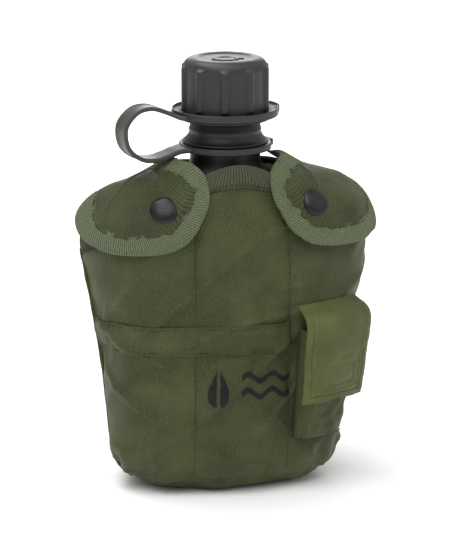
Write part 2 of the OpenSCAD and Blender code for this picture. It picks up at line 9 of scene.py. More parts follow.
import bpy
import numpy as np
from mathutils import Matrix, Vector


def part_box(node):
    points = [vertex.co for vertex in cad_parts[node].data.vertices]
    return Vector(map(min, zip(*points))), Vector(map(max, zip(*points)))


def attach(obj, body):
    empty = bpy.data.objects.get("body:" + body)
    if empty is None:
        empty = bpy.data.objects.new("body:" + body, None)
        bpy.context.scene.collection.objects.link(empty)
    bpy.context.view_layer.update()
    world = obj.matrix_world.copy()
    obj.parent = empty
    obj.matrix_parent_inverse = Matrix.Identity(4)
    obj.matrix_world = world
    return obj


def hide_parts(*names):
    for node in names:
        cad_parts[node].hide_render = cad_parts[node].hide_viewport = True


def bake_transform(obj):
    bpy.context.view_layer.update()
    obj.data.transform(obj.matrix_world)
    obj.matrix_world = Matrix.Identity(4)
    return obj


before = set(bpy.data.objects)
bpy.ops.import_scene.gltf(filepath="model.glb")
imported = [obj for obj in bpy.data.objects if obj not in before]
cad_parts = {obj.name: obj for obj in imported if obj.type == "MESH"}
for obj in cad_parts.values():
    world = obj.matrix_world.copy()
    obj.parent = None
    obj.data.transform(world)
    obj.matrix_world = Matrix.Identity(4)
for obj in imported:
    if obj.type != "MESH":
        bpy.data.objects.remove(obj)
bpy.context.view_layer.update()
MM = 0.001

# ---------------------------------------------------------------- camera, light and floor


def aim(obj, target):
    """Turn a camera or lamp so that it looks at a point."""
    obj.rotation_euler = (Vector(target) - obj.location).to_track_quat("-Z", "Y").to_euler()


VIEW_HEIGHT = 0.2833  # metres that the picture is tall at the target
SENSOR = 24


def make_camera():
    azimuth = math.radians(-14)
    distance = 1.62
    height = 0.5
    target = Vector((0.0015, 0, 0.1035))
    data = bpy.data.cameras.new("camera")
    camera = bpy.data.objects.new("camera", data)
    bpy.context.scene.collection.objects.link(camera)
    camera.location = (distance * math.sin(azimuth), -distance * math.cos(azimuth), height)
    aim(camera, target)
    data.sensor_fit = "VERTICAL"
    data.sensor_height = SENSOR
    data.lens = SENSOR * (target - camera.location).length / VIEW_HEIGHT
    data.clip_start = 0.05
    bpy.context.scene.camera = camera


def soft_sun(name, source, strength, spread):
    """An even light over the whole set, from a wide patch of sky in one direction."""
    data = bpy.data.lights.new(name, "SUN")
    data.energy = strength
    data.angle = math.radians(spread)
    lamp = bpy.data.objects.new(name, data)
    bpy.context.scene.collection.objects.link(lamp)
    lamp.location = source
    aim(lamp, (0, 0, 0))


def soft_box(name, location, target, size, power):
    data = bpy.data.lights.new(name, "AREA")
    data.shape = "DISK"
    data.size = size
    data.energy = power
    lamp = bpy.data.objects.new(name, data)
    bpy.context.scene.collection.objects.link(lamp)
    lamp.location = location
    aim(lamp, target)


def make_studio():
    world = bpy.data.worlds.new("studio")
    bpy.context.scene.world = world
    world.use_nodes = True
    back = world.node_tree.nodes["Background"]
    back.inputs["Color"].default_value = (1, 1, 1, 1)
    back.inputs["Strength"].default_value = 0.56
    soft_sun("key", (-0.45, -0.7, 1.5), 1.65, 50)
    soft_sun("fill", (0.9, -0.5, 1.0), 0.5, 60)
    soft_box("gloss", (-0.25, 0.25, 0.95), (0, 0, 0.15), 0.5, 3.5)
    soft_box("back", (0.32, 1.26, 0.5), (0, 0, 0.21), 0.7, 4.6)
    bpy.ops.mesh.primitive_plane_add(size=8)
    floor = bpy.context.object
    floor.name = "floor"
    material = bpy.data.materials.new("floor")
    material.use_nodes = True
    shader = material.node_tree.nodes["Principled BSDF"]
    shader.inputs["Base Color"].default_value = (0.965, 0.965, 0.965, 1)
    shader.inputs["Roughness"].default_value = 0.9
    shader.inputs["Specular IOR Level"].default_value = 0.1
    floor.data.materials.append(material)


make_camera()
make_studio()
bpy.context.scene.view_settings.view_transform = "Standard"

# ---------------------------------------------------------------- the bottle's surface

BASE_Z = 7.0
BASE_ROUND = 15.0
HALF_W = 66.0
HALF_D = 33.0
NECK_Z = 166.0
NECK_R = 17.6
BEND = 0.001
# Height, half width, half depth, exponent of the outline, bend of the ends
SECTIONS = np.array([
    [BASE_Z, 0.76 * HALF_W, 0.91 * HALF_D, 2.7, BEND],
    [38, 0.805 * HALF_W, 0.955 * HALF_D, 2.7, BEND],
    [63, 0.845 * HALF_W, 0.985 * HALF_D, 2.7, BEND],
    [87, 0.9 * HALF_W, HALF_D, 2.7, BEND],
    [115, 0.975 * HALF_W, HALF_D, 2.6, BEND],
    [127, HALF_W, 0.96 * HALF_D, 2.5, BEND],
    [136, 0.96 * HALF_W, 0.88 * HALF_D, 2.35, BEND],
    [145, 0.725 * HALF_W, 0.79 * HALF_D, 2.2, BEND],
    [153, 0.52 * HALF_W, 0.7 * HALF_D, 2.1, 0.9 * BEND],
    [159, 0.365 * HALF_W, 0.62 * HALF_D, 2, 0.5 * BEND],
    [163, NECK_R + 1.4, NECK_R + 1.1, 2, 0],
    [NECK_Z, NECK_R + 0.2, NECK_R + 0.2, 2, 0],
    [NECK_Z + 3, NECK_R + 0.2, NECK_R + 0.2, 2, 0],
])


def section_at(z):
    """Half width, half depth, exponent and bend of the bottle's section at a height."""
    zs, rows = SECTIONS[:, 0], SECTIONS[:, 1:]
    low = np.maximum(np.arange(len(zs)) - 1, 0)
    high = np.minimum(np.arange(len(zs)) + 1, len(zs) - 1)
    slopes = (rows[high] - rows[low]) / (zs[high] - zs[low])[:, None]
    i = np.clip(np.searchsorted(zs, z) - 1, 0, len(zs) - 2)
    step = zs[i + 1] - zs[i]
    t = ((z - zs[i]) / step)[..., None]
    step = step[..., None]
    return np.moveaxis(
        (2 * t**3 - 3 * t**2 + 1) * rows[i] + (t**3 - 2 * t**2 + t) * step * slopes[i]
        + (3 * t**2 - 2 * t**3) * rows[i + 1] + (t**3 - t**2) * step * slopes[i + 1], -1, 0)


def bottle_point(rise, turn):
    rise, turn = floats(rise, turn)
    edge = np.radians(90 * np.clip(rise / BASE_ROUND, 0, 1))
    z = np.where(rise < BASE_ROUND, BASE_Z + BASE_ROUND * (1 - np.cos(edge)), BASE_Z + rise)
    inset = BASE_ROUND * (1 - np.sin(edge))
    a, b, n, k = section_at(z)
    c, s = np.cos(np.radians(turn)), np.sin(np.radians(turn))
    push = (np.abs(c)**n + np.abs(s)**n)**(-1 / n)
    x = (a - inset) * push * c
    y = (b - inset) * push * s
    return np.stack([x, y + k * x * x, z], -1)


def floats(*values):
    """Numbers or arrays as float arrays of one shape."""
    return np.broadcast_arrays(*(np.asarray(v, float) for v in values))


def run_along(points):
    """The distance from the start of a line to each of its points."""
    return np.concatenate([[0], np.cumsum(np.linalg.norm(np.diff(points, axis=0), axis=1))])


def unit(v):
    return v / np.maximum(np.linalg.norm(v, axis=-1, keepdims=True), 1e-12)


def bottle_normal(rise, turn):
    nudge = 0.2
    rise, turn = floats(rise, turn)
    low = np.maximum(rise - nudge, 0)
    up = bottle_point(low + 2 * nudge, turn) - bottle_point(low, turn)
    along = bottle_point(rise, turn + nudge) - bottle_point(rise, turn - nudge)
    n = unit(np.cross(along, up))
    return np.where((rise <= 0)[..., None], np.array([0, 0, -1.0]), n)


def off_point(rise, turn, off):
    return bottle_point(rise, turn) + np.asarray(off, float)[..., None] * bottle_normal(rise, turn)


def ease(t):
    t = np.clip(t, 0, 1)
    return t * t * (3 - 2 * t)


def mixed(a, b, t):
    return a + (b - a) * t


def waves(u, v, size, seed, count=16, stretch=1.0, turn=0.0):
    """Smooth noise of about -1 to 1 over two coordinates. Stretch makes its features longer along turn."""
    rng = np.random.default_rng(seed)
    c, s = math.cos(math.radians(turn)), math.sin(math.radians(turn))
    along, across = (u * c + v * s) / stretch, v * c - u * s
    total = np.zeros(np.broadcast(u, v).shape)
    for _ in range(count):
        way, phase = rng.uniform(0, 2 * math.pi, 2)
        pace = 2 * math.pi / (size * rng.uniform(0.75, 1.6))
        total = total + np.cos(pace * (along * math.cos(way) + across * math.sin(way)) + phase)
    return total * math.sqrt(2 / count) / 1.6


def creases(u, v, size, seed, **kw):
    """Narrow ridges, from 0 to 1, where smooth noise crosses zero."""
    return np.exp(-(waves(u, v, size, seed, **kw) / 0.16)**2)


# ---------------------------------------------------------------- materials


class Nodes:
    """Short calls for building a node-based material."""

    def __init__(self, name):
        self.material = bpy.data.materials.new(name)
        self.material.use_nodes = True
        self.tree = self.material.node_tree
        self.shader = self.tree.nodes["Principled BSDF"]

    def add(self, kind, **inputs):
        node = self.tree.nodes.new(kind)
        for key, value in inputs.items():
            self.put(node, key, value)
        return node

    def put(self, node, key, value):
        socket = node.inputs[int(key[1:])] if key[0] == "i" and key[1:].isdigit() else node.inputs[key]
        if isinstance(value, bpy.types.NodeSocket):
            self.tree.links.new(value, socket)
        else:
            socket.default_value = value

    def math(self, operation, a, b=0.0, c=0.0):
        node = self.add("ShaderNodeMath", i0=a, i1=b, i2=c)
        node.operation = operation
        return node.outputs[0]

    def coords(self, kind):
        node = self.tree.nodes.get("coords") or self.tree.nodes.new("ShaderNodeTexCoord")
        node.name = "coords"
        return node.outputs[kind]

    def noise(self, size, detail=2.0, rough=0.5, kind="Object", stretch=(1, 1, 1)):
        """Noise with features of about size metres."""
        scaled = self.add("ShaderNodeMapping", Vector=self.coords(kind), Scale=stretch).outputs[0]
        node = self.add("ShaderNodeTexNoise", Vector=scaled, Scale=1 / size, Detail=detail, Roughness=rough)
        return node.outputs[0]

    def ramp(self, value, *stops):
        node = self.add("ShaderNodeValToRGB", i0=value)
        while len(node.color_ramp.elements) < len(stops):
            node.color_ramp.elements.new(0.5)
        for element, (place, color) in zip(node.color_ramp.elements, stops):
            element.position = place
            element.color = (*color, 1)
        return node.outputs[0]

    def mix(self, factor, a, b, kind="MIX"):
        node = self.tree.nodes.new("ShaderNodeMix")
        node.data_type = "RGBA"
        node.blend_type = kind
        self.put(node, "i0", factor)
        self.put(node, "i6", a)
        self.put(node, "i7", b)
        return node.outputs[2]

    def uv(self):
        split = self.add("ShaderNodeSeparateXYZ", Vector=self.coords("UV"))
        return split.outputs[0], split.outputs[1]

    def bump(self, height, strength, distance, after=None):
        node = self.add("ShaderNodeBump", Height=height, Strength=strength, Distance=distance)
        if after is not None:
            self.put(node, "Normal", after)
        return node.outputs[0]

    def finish(self, color, rough, normal=None, **fixed):
        self.put(self.shader, "Base Color", color)
        self.put(self.shader, "Roughness", rough)
        if normal is not None:
            self.put(self.shader, "Normal", normal)
        for key, value in fixed.items():
            self.put(self.shader, key.replace("_", " "), value)
        return self.material


def shade(color, factor):
    return tuple(min(1.0, c * factor) for c in color)


def woven(name, color, pitch=0.0013, contrast=0.85, bump=1.0, sheen=0.06, rough=0.5):
    """Plain weave of thick yarns: warp and weft pass over each other in a chequer."""
    m = Nodes(name)
    u, v = m.uv()
    warp = m.math("SINE", m.math("MULTIPLY", u, 2 * math.pi / pitch))
    weft = m.math("SINE", m.math("MULTIPLY", v, 2 * math.pi / pitch))
    over = m.math("MULTIPLY_ADD", m.math("MULTIPLY", warp, weft), 0.5, 0.5)
    slub = m.noise(0.0013, 3, 0.75, "UV", (1, 2, 1))
    height = m.math("MULTIPLY_ADD", slub, 0.6, over)
    tone = m.math("MULTIPLY_ADD", slub, 0.9, m.math("MULTIPLY_ADD", over, 0.5, -0.2))
    weave = m.ramp(tone, (0.28, shade(color, 1 - contrast)), (0.78, shade(color, 1 + contrast)))
    # painted sheen, partly wear: broad noise lifts patches of the weave towards a paler olive, standing in
    # for streaks of sheen on the folds
    wear_and_sheen = m.ramp(m.noise(0.022, 4, 0.65), (0.42, (0, 0, 0)), (0.7, (1, 1, 1)))
    toned = m.mix(m.math("MULTIPLY", wear_and_sheen, 0.5), weave, (*shade(color, 1.75), 1))
    # painted shade: broad noise darkens the cloth in blotches, standing in for the dark streaks between the
    # folds
    painted_shade_noise = m.noise(0.045, 3, 0.6, "Object", (1, 1, 1.6))
    painted_shade = m.ramp(painted_shade_noise, (0.3, (0.77, 0.78, 0.74)), (0.68, (1.04, 1.04, 1.0)))
    mottled = m.mix(1.0, toned, painted_shade, "MULTIPLY")
    roughness = m.math("MULTIPLY_ADD", m.noise(0.012, 3), 0.3, rough - 0.15)
    return m.finish(mottled, roughness, m.bump(height, bump, 0.0003), Sheen_Weight=sheen, Sheen_Roughness=0.4,
                    Sheen_Tint=(0.75, 0.8, 0.55, 1), Specular_IOR_Level=0.24)


def ribbed(name, color, pitch=0.00125, contrast=0.85, bump=1.0):
    """Binding tape: ribs across the tape, with bright threads between dark gaps."""
    m = Nodes(name)
    u, v = m.uv()
    rib = m.math("ABSOLUTE", m.math("SINE", m.math("MULTIPLY", u, math.pi / pitch)))
    pick = m.math("ABSOLUTE", m.math("SINE", m.math("MULTIPLY", v, math.pi / 0.0009)))
    height = m.math("MULTIPLY_ADD", pick, 0.4, rib)
    fleck = m.noise(0.0012, 3, 0.75, "UV")
    tone = m.math("MULTIPLY_ADD", fleck, 1.0, m.math("MULTIPLY_ADD", height, 0.5, -0.32))
    bright = m.ramp(tone, (0.25, shade(color, 1 - contrast)), (0.75, shade(color, 1 + contrast)))
    worn = m.mix(m.math("MULTIPLY_ADD", m.noise(0.016, 3), 0.8, -0.25), bright, (*shade(color, 1.5), 1))
    return m.finish(worn, 0.75, m.bump(height, bump, 0.0003), Sheen_Weight=0.06, Sheen_Roughness=0.5,
                    Specular_IOR_Level=0.2)


def pile(name, color):
    """Short acrylic pile: clumps of fibres."""
    m = Nodes(name)
    clump = m.noise(0.0022, 4, 0.75)
    fibre = m.noise(0.0005, 2, 0.8)
    height = m.math("MULTIPLY_ADD", fibre, 0.5, clump)
    tone = m.ramp(height, (0.4, shade(color, 0.45)), (1.0, shade(color, 1.7)))
    return m.finish(tone, 0.95, m.bump(height, 0.9, 0.0009), Sheen_Weight=0.6, Sheen_Roughness=0.6)


def hook_tape(name, color):
    m = Nodes(name)
    cells = m.add("ShaderNodeTexVoronoi", Vector=m.coords("UV"), Scale=1400.0).outputs[0]
    tone = m.ramp(cells, (0.0, shade(color, 1.6)), (0.7, shade(color, 0.4)))
    return m.finish(tone, 0.85, m.bump(cells, 0.8, -0.0006), Specular_IOR_Level=0.3)


def plastic(name, color, rough=0.42, grain=0.35, wear_and_sheen=0.35):
    """Moulded plastic with a fine spark-eroded grain, paler scuffs and soft gloss."""
    m = Nodes(name)
    fine = m.noise(0.0007, 3, 0.65)
    broad = m.noise(0.012, 3, 0.6)
    scuff = m.ramp(m.noise(0.0035, 6, 0.72), (0.52, (0, 0, 0)), (0.75, (1, 1, 1)))
    tone = m.mix(m.math("MULTIPLY", scuff, wear_and_sheen), (*color, 1), (*shade(color, 2.1), 1))
    tone = m.mix(m.math("MULTIPLY_ADD", broad, 0.8, -0.15), tone, (*shade(color, 1.35), 1))
    roughness = m.math("MULTIPLY_ADD", broad, 0.22, rough - 0.06)
    return m.finish(tone, roughness, m.bump(fine, grain, 0.00012), Specular_IOR_Level=0.5)


def metal_paint(name, color, rough=0.38):
    """Painted or blackened metal, worn to a duller tone in places."""
    m = Nodes(name)
    worn = m.ramp(m.noise(0.004, 5, 0.7), (0.5, (0, 0, 0)), (0.78, (1, 1, 1)))
    tone = m.mix(m.math("MULTIPLY", worn, 0.45), (*color, 1), (*shade(color, 2.4), 1))
    roughness = m.math("MULTIPLY_ADD", m.noise(0.006, 3), 0.3, rough - 0.1)
    edge = m.add("ShaderNodeBevel", Radius=0.0004).outputs[0]
    return m.finish(tone, roughness, m.bump(m.noise(0.0009, 3, 0.6), 0.25, 0.00012, edge), Metallic=0.25)


def thread(name, color):
    m = Nodes(name)
    twist = m.noise(0.0005, 1, 0.5)
    tone = m.ramp(twist, (0.35, shade(color, 0.6)), (0.7, shade(color, 1.3)))
    return m.finish(tone, 0.7, m.bump(twist, 0.5, 0.0001))


OLIVE = (0.052, 0.063, 0.0218)
OLIVE_LIGHT = (0.076, 0.093, 0.027)
TAPE = (0.08, 0.094, 0.05)
PLASTIC = (0.0155, 0.0165, 0.013)
mat = {
    "cover": woven("cover_nylon", OLIVE),
    "flap": woven("flap_nylon", shade(OLIVE, 0.81)),
    "pocket": woven("pocket_nylon", OLIVE_LIGHT, contrast=0.3),
    "tape": ribbed("binding_tape", TAPE),
    "collar": ribbed("collar_tape", shade(TAPE, 0.5)),
    "webbing": ribbed("clip_webbing", shade(TAPE, 0.85), 0.0016),
    "seam": ribbed("seam_tape", shade(OLIVE, 0.6), 0.0012),
    "pile": pile("acrylic_pile", (0.07, 0.085, 0.04)),
    "hook": hook_tape("hook_tape", (0.07, 0.08, 0.045)),
    "bottle": plastic("bottle_plastic", (0.0024, 0.0027, 0.002), 0.4, 0.2, 0.15),
    "cap": plastic("cap_plastic", PLASTIC),
    "strap": plastic("strap_plastic", shade(PLASTIC, 2.1), 0.42, 0.5, 0.5),
    "gasket": plastic("gasket_rubber", (0.33, 0.31, 0.26), 0.7),
    "snap": metal_paint("snap_enamel", (0.003, 0.0032, 0.0026), 0.3),
    "steel": metal_paint("clip_steel", (0.022, 0.023, 0.019), 0.42),
    "thread": thread("olive_thread", (0.02, 0.024, 0.013)),
    "stencil": woven("stencil_paint", (0.006, 0.006, 0.0055), sheen=0.05, contrast=0.3),
}

# ---------------------------------------------------------------- meshes


def mesh_piece(name, points, faces, material, body, uv=None, nodes=(), smooth=True):
    """A mesh object from points in millimetres, riding on a body."""
    mesh = bpy.data.meshes.new(name)
    mesh.from_pydata((np.asarray(points).reshape(-1, 3) * MM).tolist(), [], [list(f) for f in faces])
    if uv is not None:
        layer = mesh.uv_layers.new(name="UVMap")
        order = np.empty(len(mesh.loops), int)
        mesh.loops.foreach_get("vertex_index", order)
        layer.data.foreach_set("uv", (np.asarray(uv).reshape(-1, 2) * MM)[order].astype(np.float32).ravel())
    mesh.polygons.foreach_set("use_smooth", [smooth] * len(mesh.polygons))
    mesh.materials.append(mat[material])
    mesh.validate()
    obj = bpy.data.objects.new(name, mesh)
    bpy.context.scene.collection.objects.link(obj)
    if nodes:
        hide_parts(*nodes)
    if body:
        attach(obj, body)
    return obj


def grid_faces(cols, rows, wrap_cols=False, wrap_rows=False, flip=False):
    i = np.arange(cols if wrap_cols else cols - 1)[:, None]
    j = np.arange(rows if wrap_rows else rows - 1)[None, :]
    a = i * rows + j
    b = ((i + 1) % cols) * rows + j
    c = ((i + 1) % cols) * rows + (j + 1) % rows
    d = i * rows + (j + 1) % rows
    quads = np.stack([a, b, c, d] if not flip else [a, d, c, b], -1).reshape(-1, 4)
    return quads.tolist()


def grid_normals(points):
    along = np.gradient(points, axis=0)
    up = np.gradient(points, axis=1)
    return unit(np.cross(along, up))


def grid_uv(points):
    """Lengths along both ways of a grid, measured from its middle column and first row."""
    step_u = np.linalg.norm(np.diff(points, axis=0), axis=-1)
    step_v = np.linalg.norm(np.diff(points, axis=1), axis=-1)
    u = np.concatenate([np.zeros((1, points.shape[1])), np.cumsum(step_u, 0)])
    u = u - u[len(u) // 2]
    v = np.concatenate([np.zeros((points.shape[0], 1)), np.cumsum(step_v, 1)], 1)
    return np.stack([u, v], -1)


def slab(name, outer, thickness, material, body, nodes=(), uv=None, normals=None):
    """A closed cloth layer: a grid of outer points and the same points further in."""
    cols, rows = outer.shape[:2]
    normals = grid_normals(outer) if normals is None else normals
    inner = outer - normals * np.asarray(thickness)[..., None]
    uv = grid_uv(outer) if uv is None else uv
    shift = cols * rows
    faces = grid_faces(cols, rows)
    faces += [[f[3] + shift, f[2] + shift, f[1] + shift, f[0] + shift] for f in grid_faces(cols, rows)]
    low = [i * rows for i in range(cols)]
    high = [i * rows + rows - 1 for i in range(cols)]
    first = list(range(rows))
    last = [(cols - 1) * rows + j for j in range(rows)]
    for line, flip in ((low, True), (high, False), (first, False), (last, True)):
        for a, b in zip(line[:-1], line[1:]):
            quad = [a, b, b + shift, a + shift]
            faces.append(quad[::-1] if flip else quad)
    both = np.concatenate([outer.reshape(-1, 3), inner.reshape(-1, 3)])
    return mesh_piece(name, both, faces, material, body,
                      np.concatenate([uv.reshape(-1, 2)] * 2), nodes)


def swept(name, rings, material, body, nodes=(), uv=None, capped=True):
    """A closed tube: rings of points, closed round each ring and capped at both ends."""
    cols, rows = rings.shape[:2]
    faces = grid_faces(cols, rows, wrap_rows=True)
    points = rings.reshape(-1, 3)
    if uv is None:
        uv = np.zeros((cols, rows, 2))
        step = np.linalg.norm(np.diff(rings.mean(1), axis=0), axis=-1)
        uv[1:, :, 0] = np.cumsum(step)[:, None]
        around = np.linalg.norm(np.diff(rings, axis=1), axis=-1)
        uv[:, 1:, 1] = np.cumsum(around, 1)
    uv = uv.reshape(-1, 2)
    if capped:
        ends = [rings[0].mean(0), rings[-1].mean(0)]
        points = np.concatenate([points, ends])
        uv = np.concatenate([uv, [uv[0], uv[-1]]])
        n = cols * rows
        faces += [[n, (j + 1) % rows, j] for j in range(rows)]
        base = (cols - 1) * rows
        faces += [[n + 1, base + j, base + (j + 1) % rows] for j in range(rows)]
    return mesh_piece(name, points, faces, material, body, uv, nodes)


def turned(name, profile, material, body, nodes=(), steps=96, place=None, swell=None):
    """A body of revolution about Z from a closed profile of (radius, height)."""
    profile = np.asarray(profile, float)
    around = np.radians(np.arange(steps) * 360 / steps)
    wider = 0 if swell is None else swell(np.degrees(around)[:, None], profile[None, :, :])
    r = np.broadcast_to(profile[None, :, 0] + wider, (steps, len(profile)))
    points = np.stack([r * np.cos(around)[:, None], r * np.sin(around)[:, None],
                       np.broadcast_to(profile[None, :, 1], r.shape)], -1)
    if place is not None:
        points = place(points)
    faces = grid_faces(steps, len(profile), wrap_cols=True, wrap_rows=True)
    length = run_along(profile)
    uv = np.stack(np.broadcast_arrays(np.degrees(around)[:, None] * 0.35, length[None, :]), -1)
    return mesh_piece(name, points, faces, material, body, uv, nodes)


def arc(center, radius, start, end, count):
    """Points of a circular arc as (radius, height) pairs."""
    angle = np.radians(np.linspace(start, end, count))
    return [(center[0] + radius * math.cos(a), center[1] + radius * math.sin(a)) for a in angle]


def smooth_line(points, count):
    """A Catmull-Rom curve through points, at even spacing."""
    p = np.asarray(points, float)
    p = np.concatenate([[2 * p[0] - p[1]], p, [2 * p[-1] - p[-2]]])
    t = np.linspace(0, 1, 24, endpoint=False)[:, None]
    parts = [0.5 * (2 * b + (c - a) * t + (2 * a - 5 * b + 4 * c - d) * t**2 + (3 * b - a - 3 * c + d) * t**3)
             for a, b, c, d in zip(p[:-3], p[1:-2], p[2:-1], p[3:])]
    return even(np.concatenate(parts + [p[-2:-1]]), count)


def even(line, count):
    length = run_along(line)
    want = np.linspace(0, length[-1], count)
    return np.stack([np.interp(want, length, line[:, k]) for k in range(line.shape[1])], -1)


# ---------------------------------------------------------------- stitching

STITCH_PITCH = 2.9
STITCH_LENGTH = 2.3
THREAD_R = 0.24


def stitches(name, rows, body, pitch=STITCH_PITCH):
    """Rows of sewn thread as one piece. Each row is (points, normals) along a seam."""
    sides = 6
    stations = 5
    length = pitch * STITCH_LENGTH / STITCH_PITCH
    points, faces = [], []
    for line, normals in rows:
        both = even(np.concatenate([line, normals], 1), 1200)
        line, normals = both[:, :3], unit(both[:, 3:])
        run = run_along(line)
        for start in np.arange(0.4, run[-1] - length, pitch):
            t = np.linspace(0, 1, stations)
            place = start + t * length
            c = np.stack([np.interp(place, run, line[:, k]) for k in range(3)], -1)
            n = unit(np.stack([np.interp(place, run, normals[:, k]) for k in range(3)], -1))
            side = unit(np.cross(unit(np.gradient(c, axis=0)), n))
            c = c + n * (THREAD_R * (1.7 * np.sin(np.pi * t) - 0.9))[:, None]
            angle = np.linspace(0, 2 * math.pi, sides, endpoint=False)
            ring = (c[:, None] + THREAD_R * (np.cos(angle)[None, :, None] * side[:, None]
                                             + np.sin(angle)[None, :, None] * n[:, None]))
            first = len(points) * sides * stations
            points.append(ring.reshape(-1, 3))
            faces += [[first + k for k in f] for f in grid_faces(stations, sides, wrap_rows=True)]
            faces.append([first + k for k in range(sides)][::-1])
            faces.append([first + (stations - 1) * sides + k for k in range(sides)])
    return mesh_piece(name, np.concatenate(points), faces, "thread", body)


# ---------------------------------------------------------------- fabric panels

LINER = (0.6, 4.2)
PANEL = (5.75, 7.0)
BODY_TOP = 98.0
EDGE_MID = NECK_Z - 7 - BASE_Z
EDGE_SIDE = 131 - BASE_Z
BACK_EDGE = NECK_Z - 8 - BASE_Z
# Height gained, and turn passed, per millimetre along the cover near its shoulder
RISE_PER_MM = 0.85
DEG_PER_MM = 1.05


def front_edge(turn):
    """Rise of the front panel's free top edge: high in the middle, low at the side seams."""
    return mixed(EDGE_MID, EDGE_SIDE, np.abs(np.cos(np.radians(turn)))**2.2)


def back_edge(turn):
    return np.full(np.shape(turn), BACK_EDGE)


class Panel:
    """A sheet of cover fabric as a grid: columns go round the bottle and rows go up."""

    knots = ((0.0, 0.0), (0.14, BASE_ROUND), (0.6, BODY_TOP))

    def __init__(self, start, edge, off, cols, rows, drop=0.0):
        probe = np.linspace(start + 0.7, start + 179.3, 400)
        path = off_point(60.0, probe, off)
        run = run_along(path)
        self.turns = np.interp(np.linspace(0, run[-1], cols), run, probe)
        self.levels = np.linspace(0, 1, rows)
        self.edge, self.off, self.drop = edge, off, drop
        turn = self.turns[:, None]
        rise = self.rise(self.levels[None, :], edge(turn) - drop)
        self.base = off_point(rise, turn, off)
        self.points = self.base.copy()
        self.normals = bottle_normal(rise, turn)
        self.rises = rise
        self.uv = grid_uv(self.base)

    def rise(self, level, top):
        (l0, r0), (l1, r1), (l2, r2) = self.knots
        low = r0 + (r1 - r0) * (level - l0) / (l1 - l0)
        mid = r1 + (r2 - r1) * (level - l1) / (l2 - l1)
        high = r2 + (top - r2) * (level - l2) / (1 - l2)
        return np.where(level < l1, low, np.where(level < l2, mid, high))

    def level(self, rise, top):
        (l0, r0), (l1, r1), (l2, r2) = self.knots
        low = l0 + (l1 - l0) * (rise - r0) / (r1 - r0)
        mid = l1 + (l2 - l1) * (rise - r1) / (r2 - r1)
        high = l2 + (1 - l2) * (rise - r2) / (top - r2)
        return np.where(rise < r1, low, np.where(rise < r2, mid, high))

    def push(self, distance):
        self.points = self.points + self.normals * distance[..., None]

    def settle(self):
        self.normals = grid_normals(self.points)

    def sample(self, grid, turn, rise):
        i = np.interp(turn, self.turns, np.arange(len(self.turns)))
        level = np.clip(self.level(rise, self.edge(turn) - self.drop), 0, 1)
        j = level * (len(self.levels) - 1)
        i0 = np.clip(i.astype(int), 0, grid.shape[0] - 2)
        j0 = np.clip(j.astype(int), 0, grid.shape[1] - 2)
        fi, fj = (i - i0)[..., None], (j - j0)[..., None]
        return ((grid[i0, j0] * (1 - fi) + grid[i0 + 1, j0] * fi) * (1 - fj)
                + (grid[i0, j0 + 1] * (1 - fi) + grid[i0 + 1, j0 + 1] * fi) * fj)

    def at(self, turn, rise, off=0.0):
        """A point that lies off the finished panel, and the panel's normal there."""
        turn, rise = floats(turn, rise)
        normal = unit(self.sample(self.normals, turn, rise))
        return self.sample(self.points, turn, rise) + normal * np.asarray(off, float)[..., None], normal

    def turn_at_x(self, x, rise):
        """The turn at which the panel reaches a distance from the middle."""
        turns = np.linspace(self.turns[0], self.turns[-1], 361)
        rise = np.atleast_1d(np.asarray(rise, float))
        x = np.broadcast_to(np.asarray(x, float), rise.shape)
        found = [np.interp(xx, self.at(turns, r)[0][:, 0], turns) for xx, r in zip(x, rise)]
        return np.array(found)


SEAM_X = 24.0
BAND_Z = 75.0
BAND_W = 14.5


def gauss(x, width):
    return np.exp(-(x / width)**2)


def wrinkle_front(panel):
    """Folds, puckers and slack of the front panel, pushed along its normals."""
    x, z = panel.base[..., 0], panel.base[..., 2]
    u, v = panel.uv[..., 0], panel.uv[..., 1]
    side = ease((90 - np.abs(panel.turns[:, None] - 270)) / 7)
    low = ease(panel.rises / 9)
    top = ease((panel.edge(panel.turns)[:, None] - panel.rises) / 14)
    push = 0.9 * waves(u, v, 50, 3, stretch=1.7, turn=75)
    push += 1.5 * (creases(u, v, 54, 11, stretch=2.4, turn=35) - 0.3)
    push += 1.2 * (creases(u, v, 44, 29, stretch=2.8, turn=-30) - 0.3) * ease((110 - z) / 50)
    push += 0.9 * (creases(u, v, 30, 57, stretch=2.0, turn=85) - 0.3) * ease((45 - z) / 30)
    push += 0.3 * waves(u, v, 12, 5, stretch=1.8, turn=20)
    # sewn lines pull in, with short puckers across them
    pucker = waves(v, u * 0.2, 7.5, 8, count=10)
    for seam in (-SEAM_X, SEAM_X):
        d = x - seam
        push += -1.0 * gauss(d, 1.5) - 0.8 * gauss(d, 7) + 0.65 * pucker * gauss(d, 6)
    ripple = waves(u, v * 0.2, 8.5, 9, count=10)
    for seam_z in (BAND_Z, BAND_Z + BAND_W):
        d = z - seam_z
        push += -0.7 * gauss(d, 6) + 0.5 * ripple * gauss(d, 7)
    # slack gathers above the bottom seam
    push += 1.3 * gauss(z - 13, 9) * waves(u, v * 0.3, 13, 14) - 0.9 * gauss(z - 7, 2.2)
    push = push * mixed(0.25, 1, top) * side * low
    push = np.maximum(push, -1.9)
    panel.push(push)
    # the collar stands up round the neck
    stand = ease((panel.rises - 122) / 30) * (1 - ease((np.abs(x) - 15) / 17))
    panel.points = panel.points + stand[..., None] * np.array([0, -0.5, 5.5])
    panel.settle()


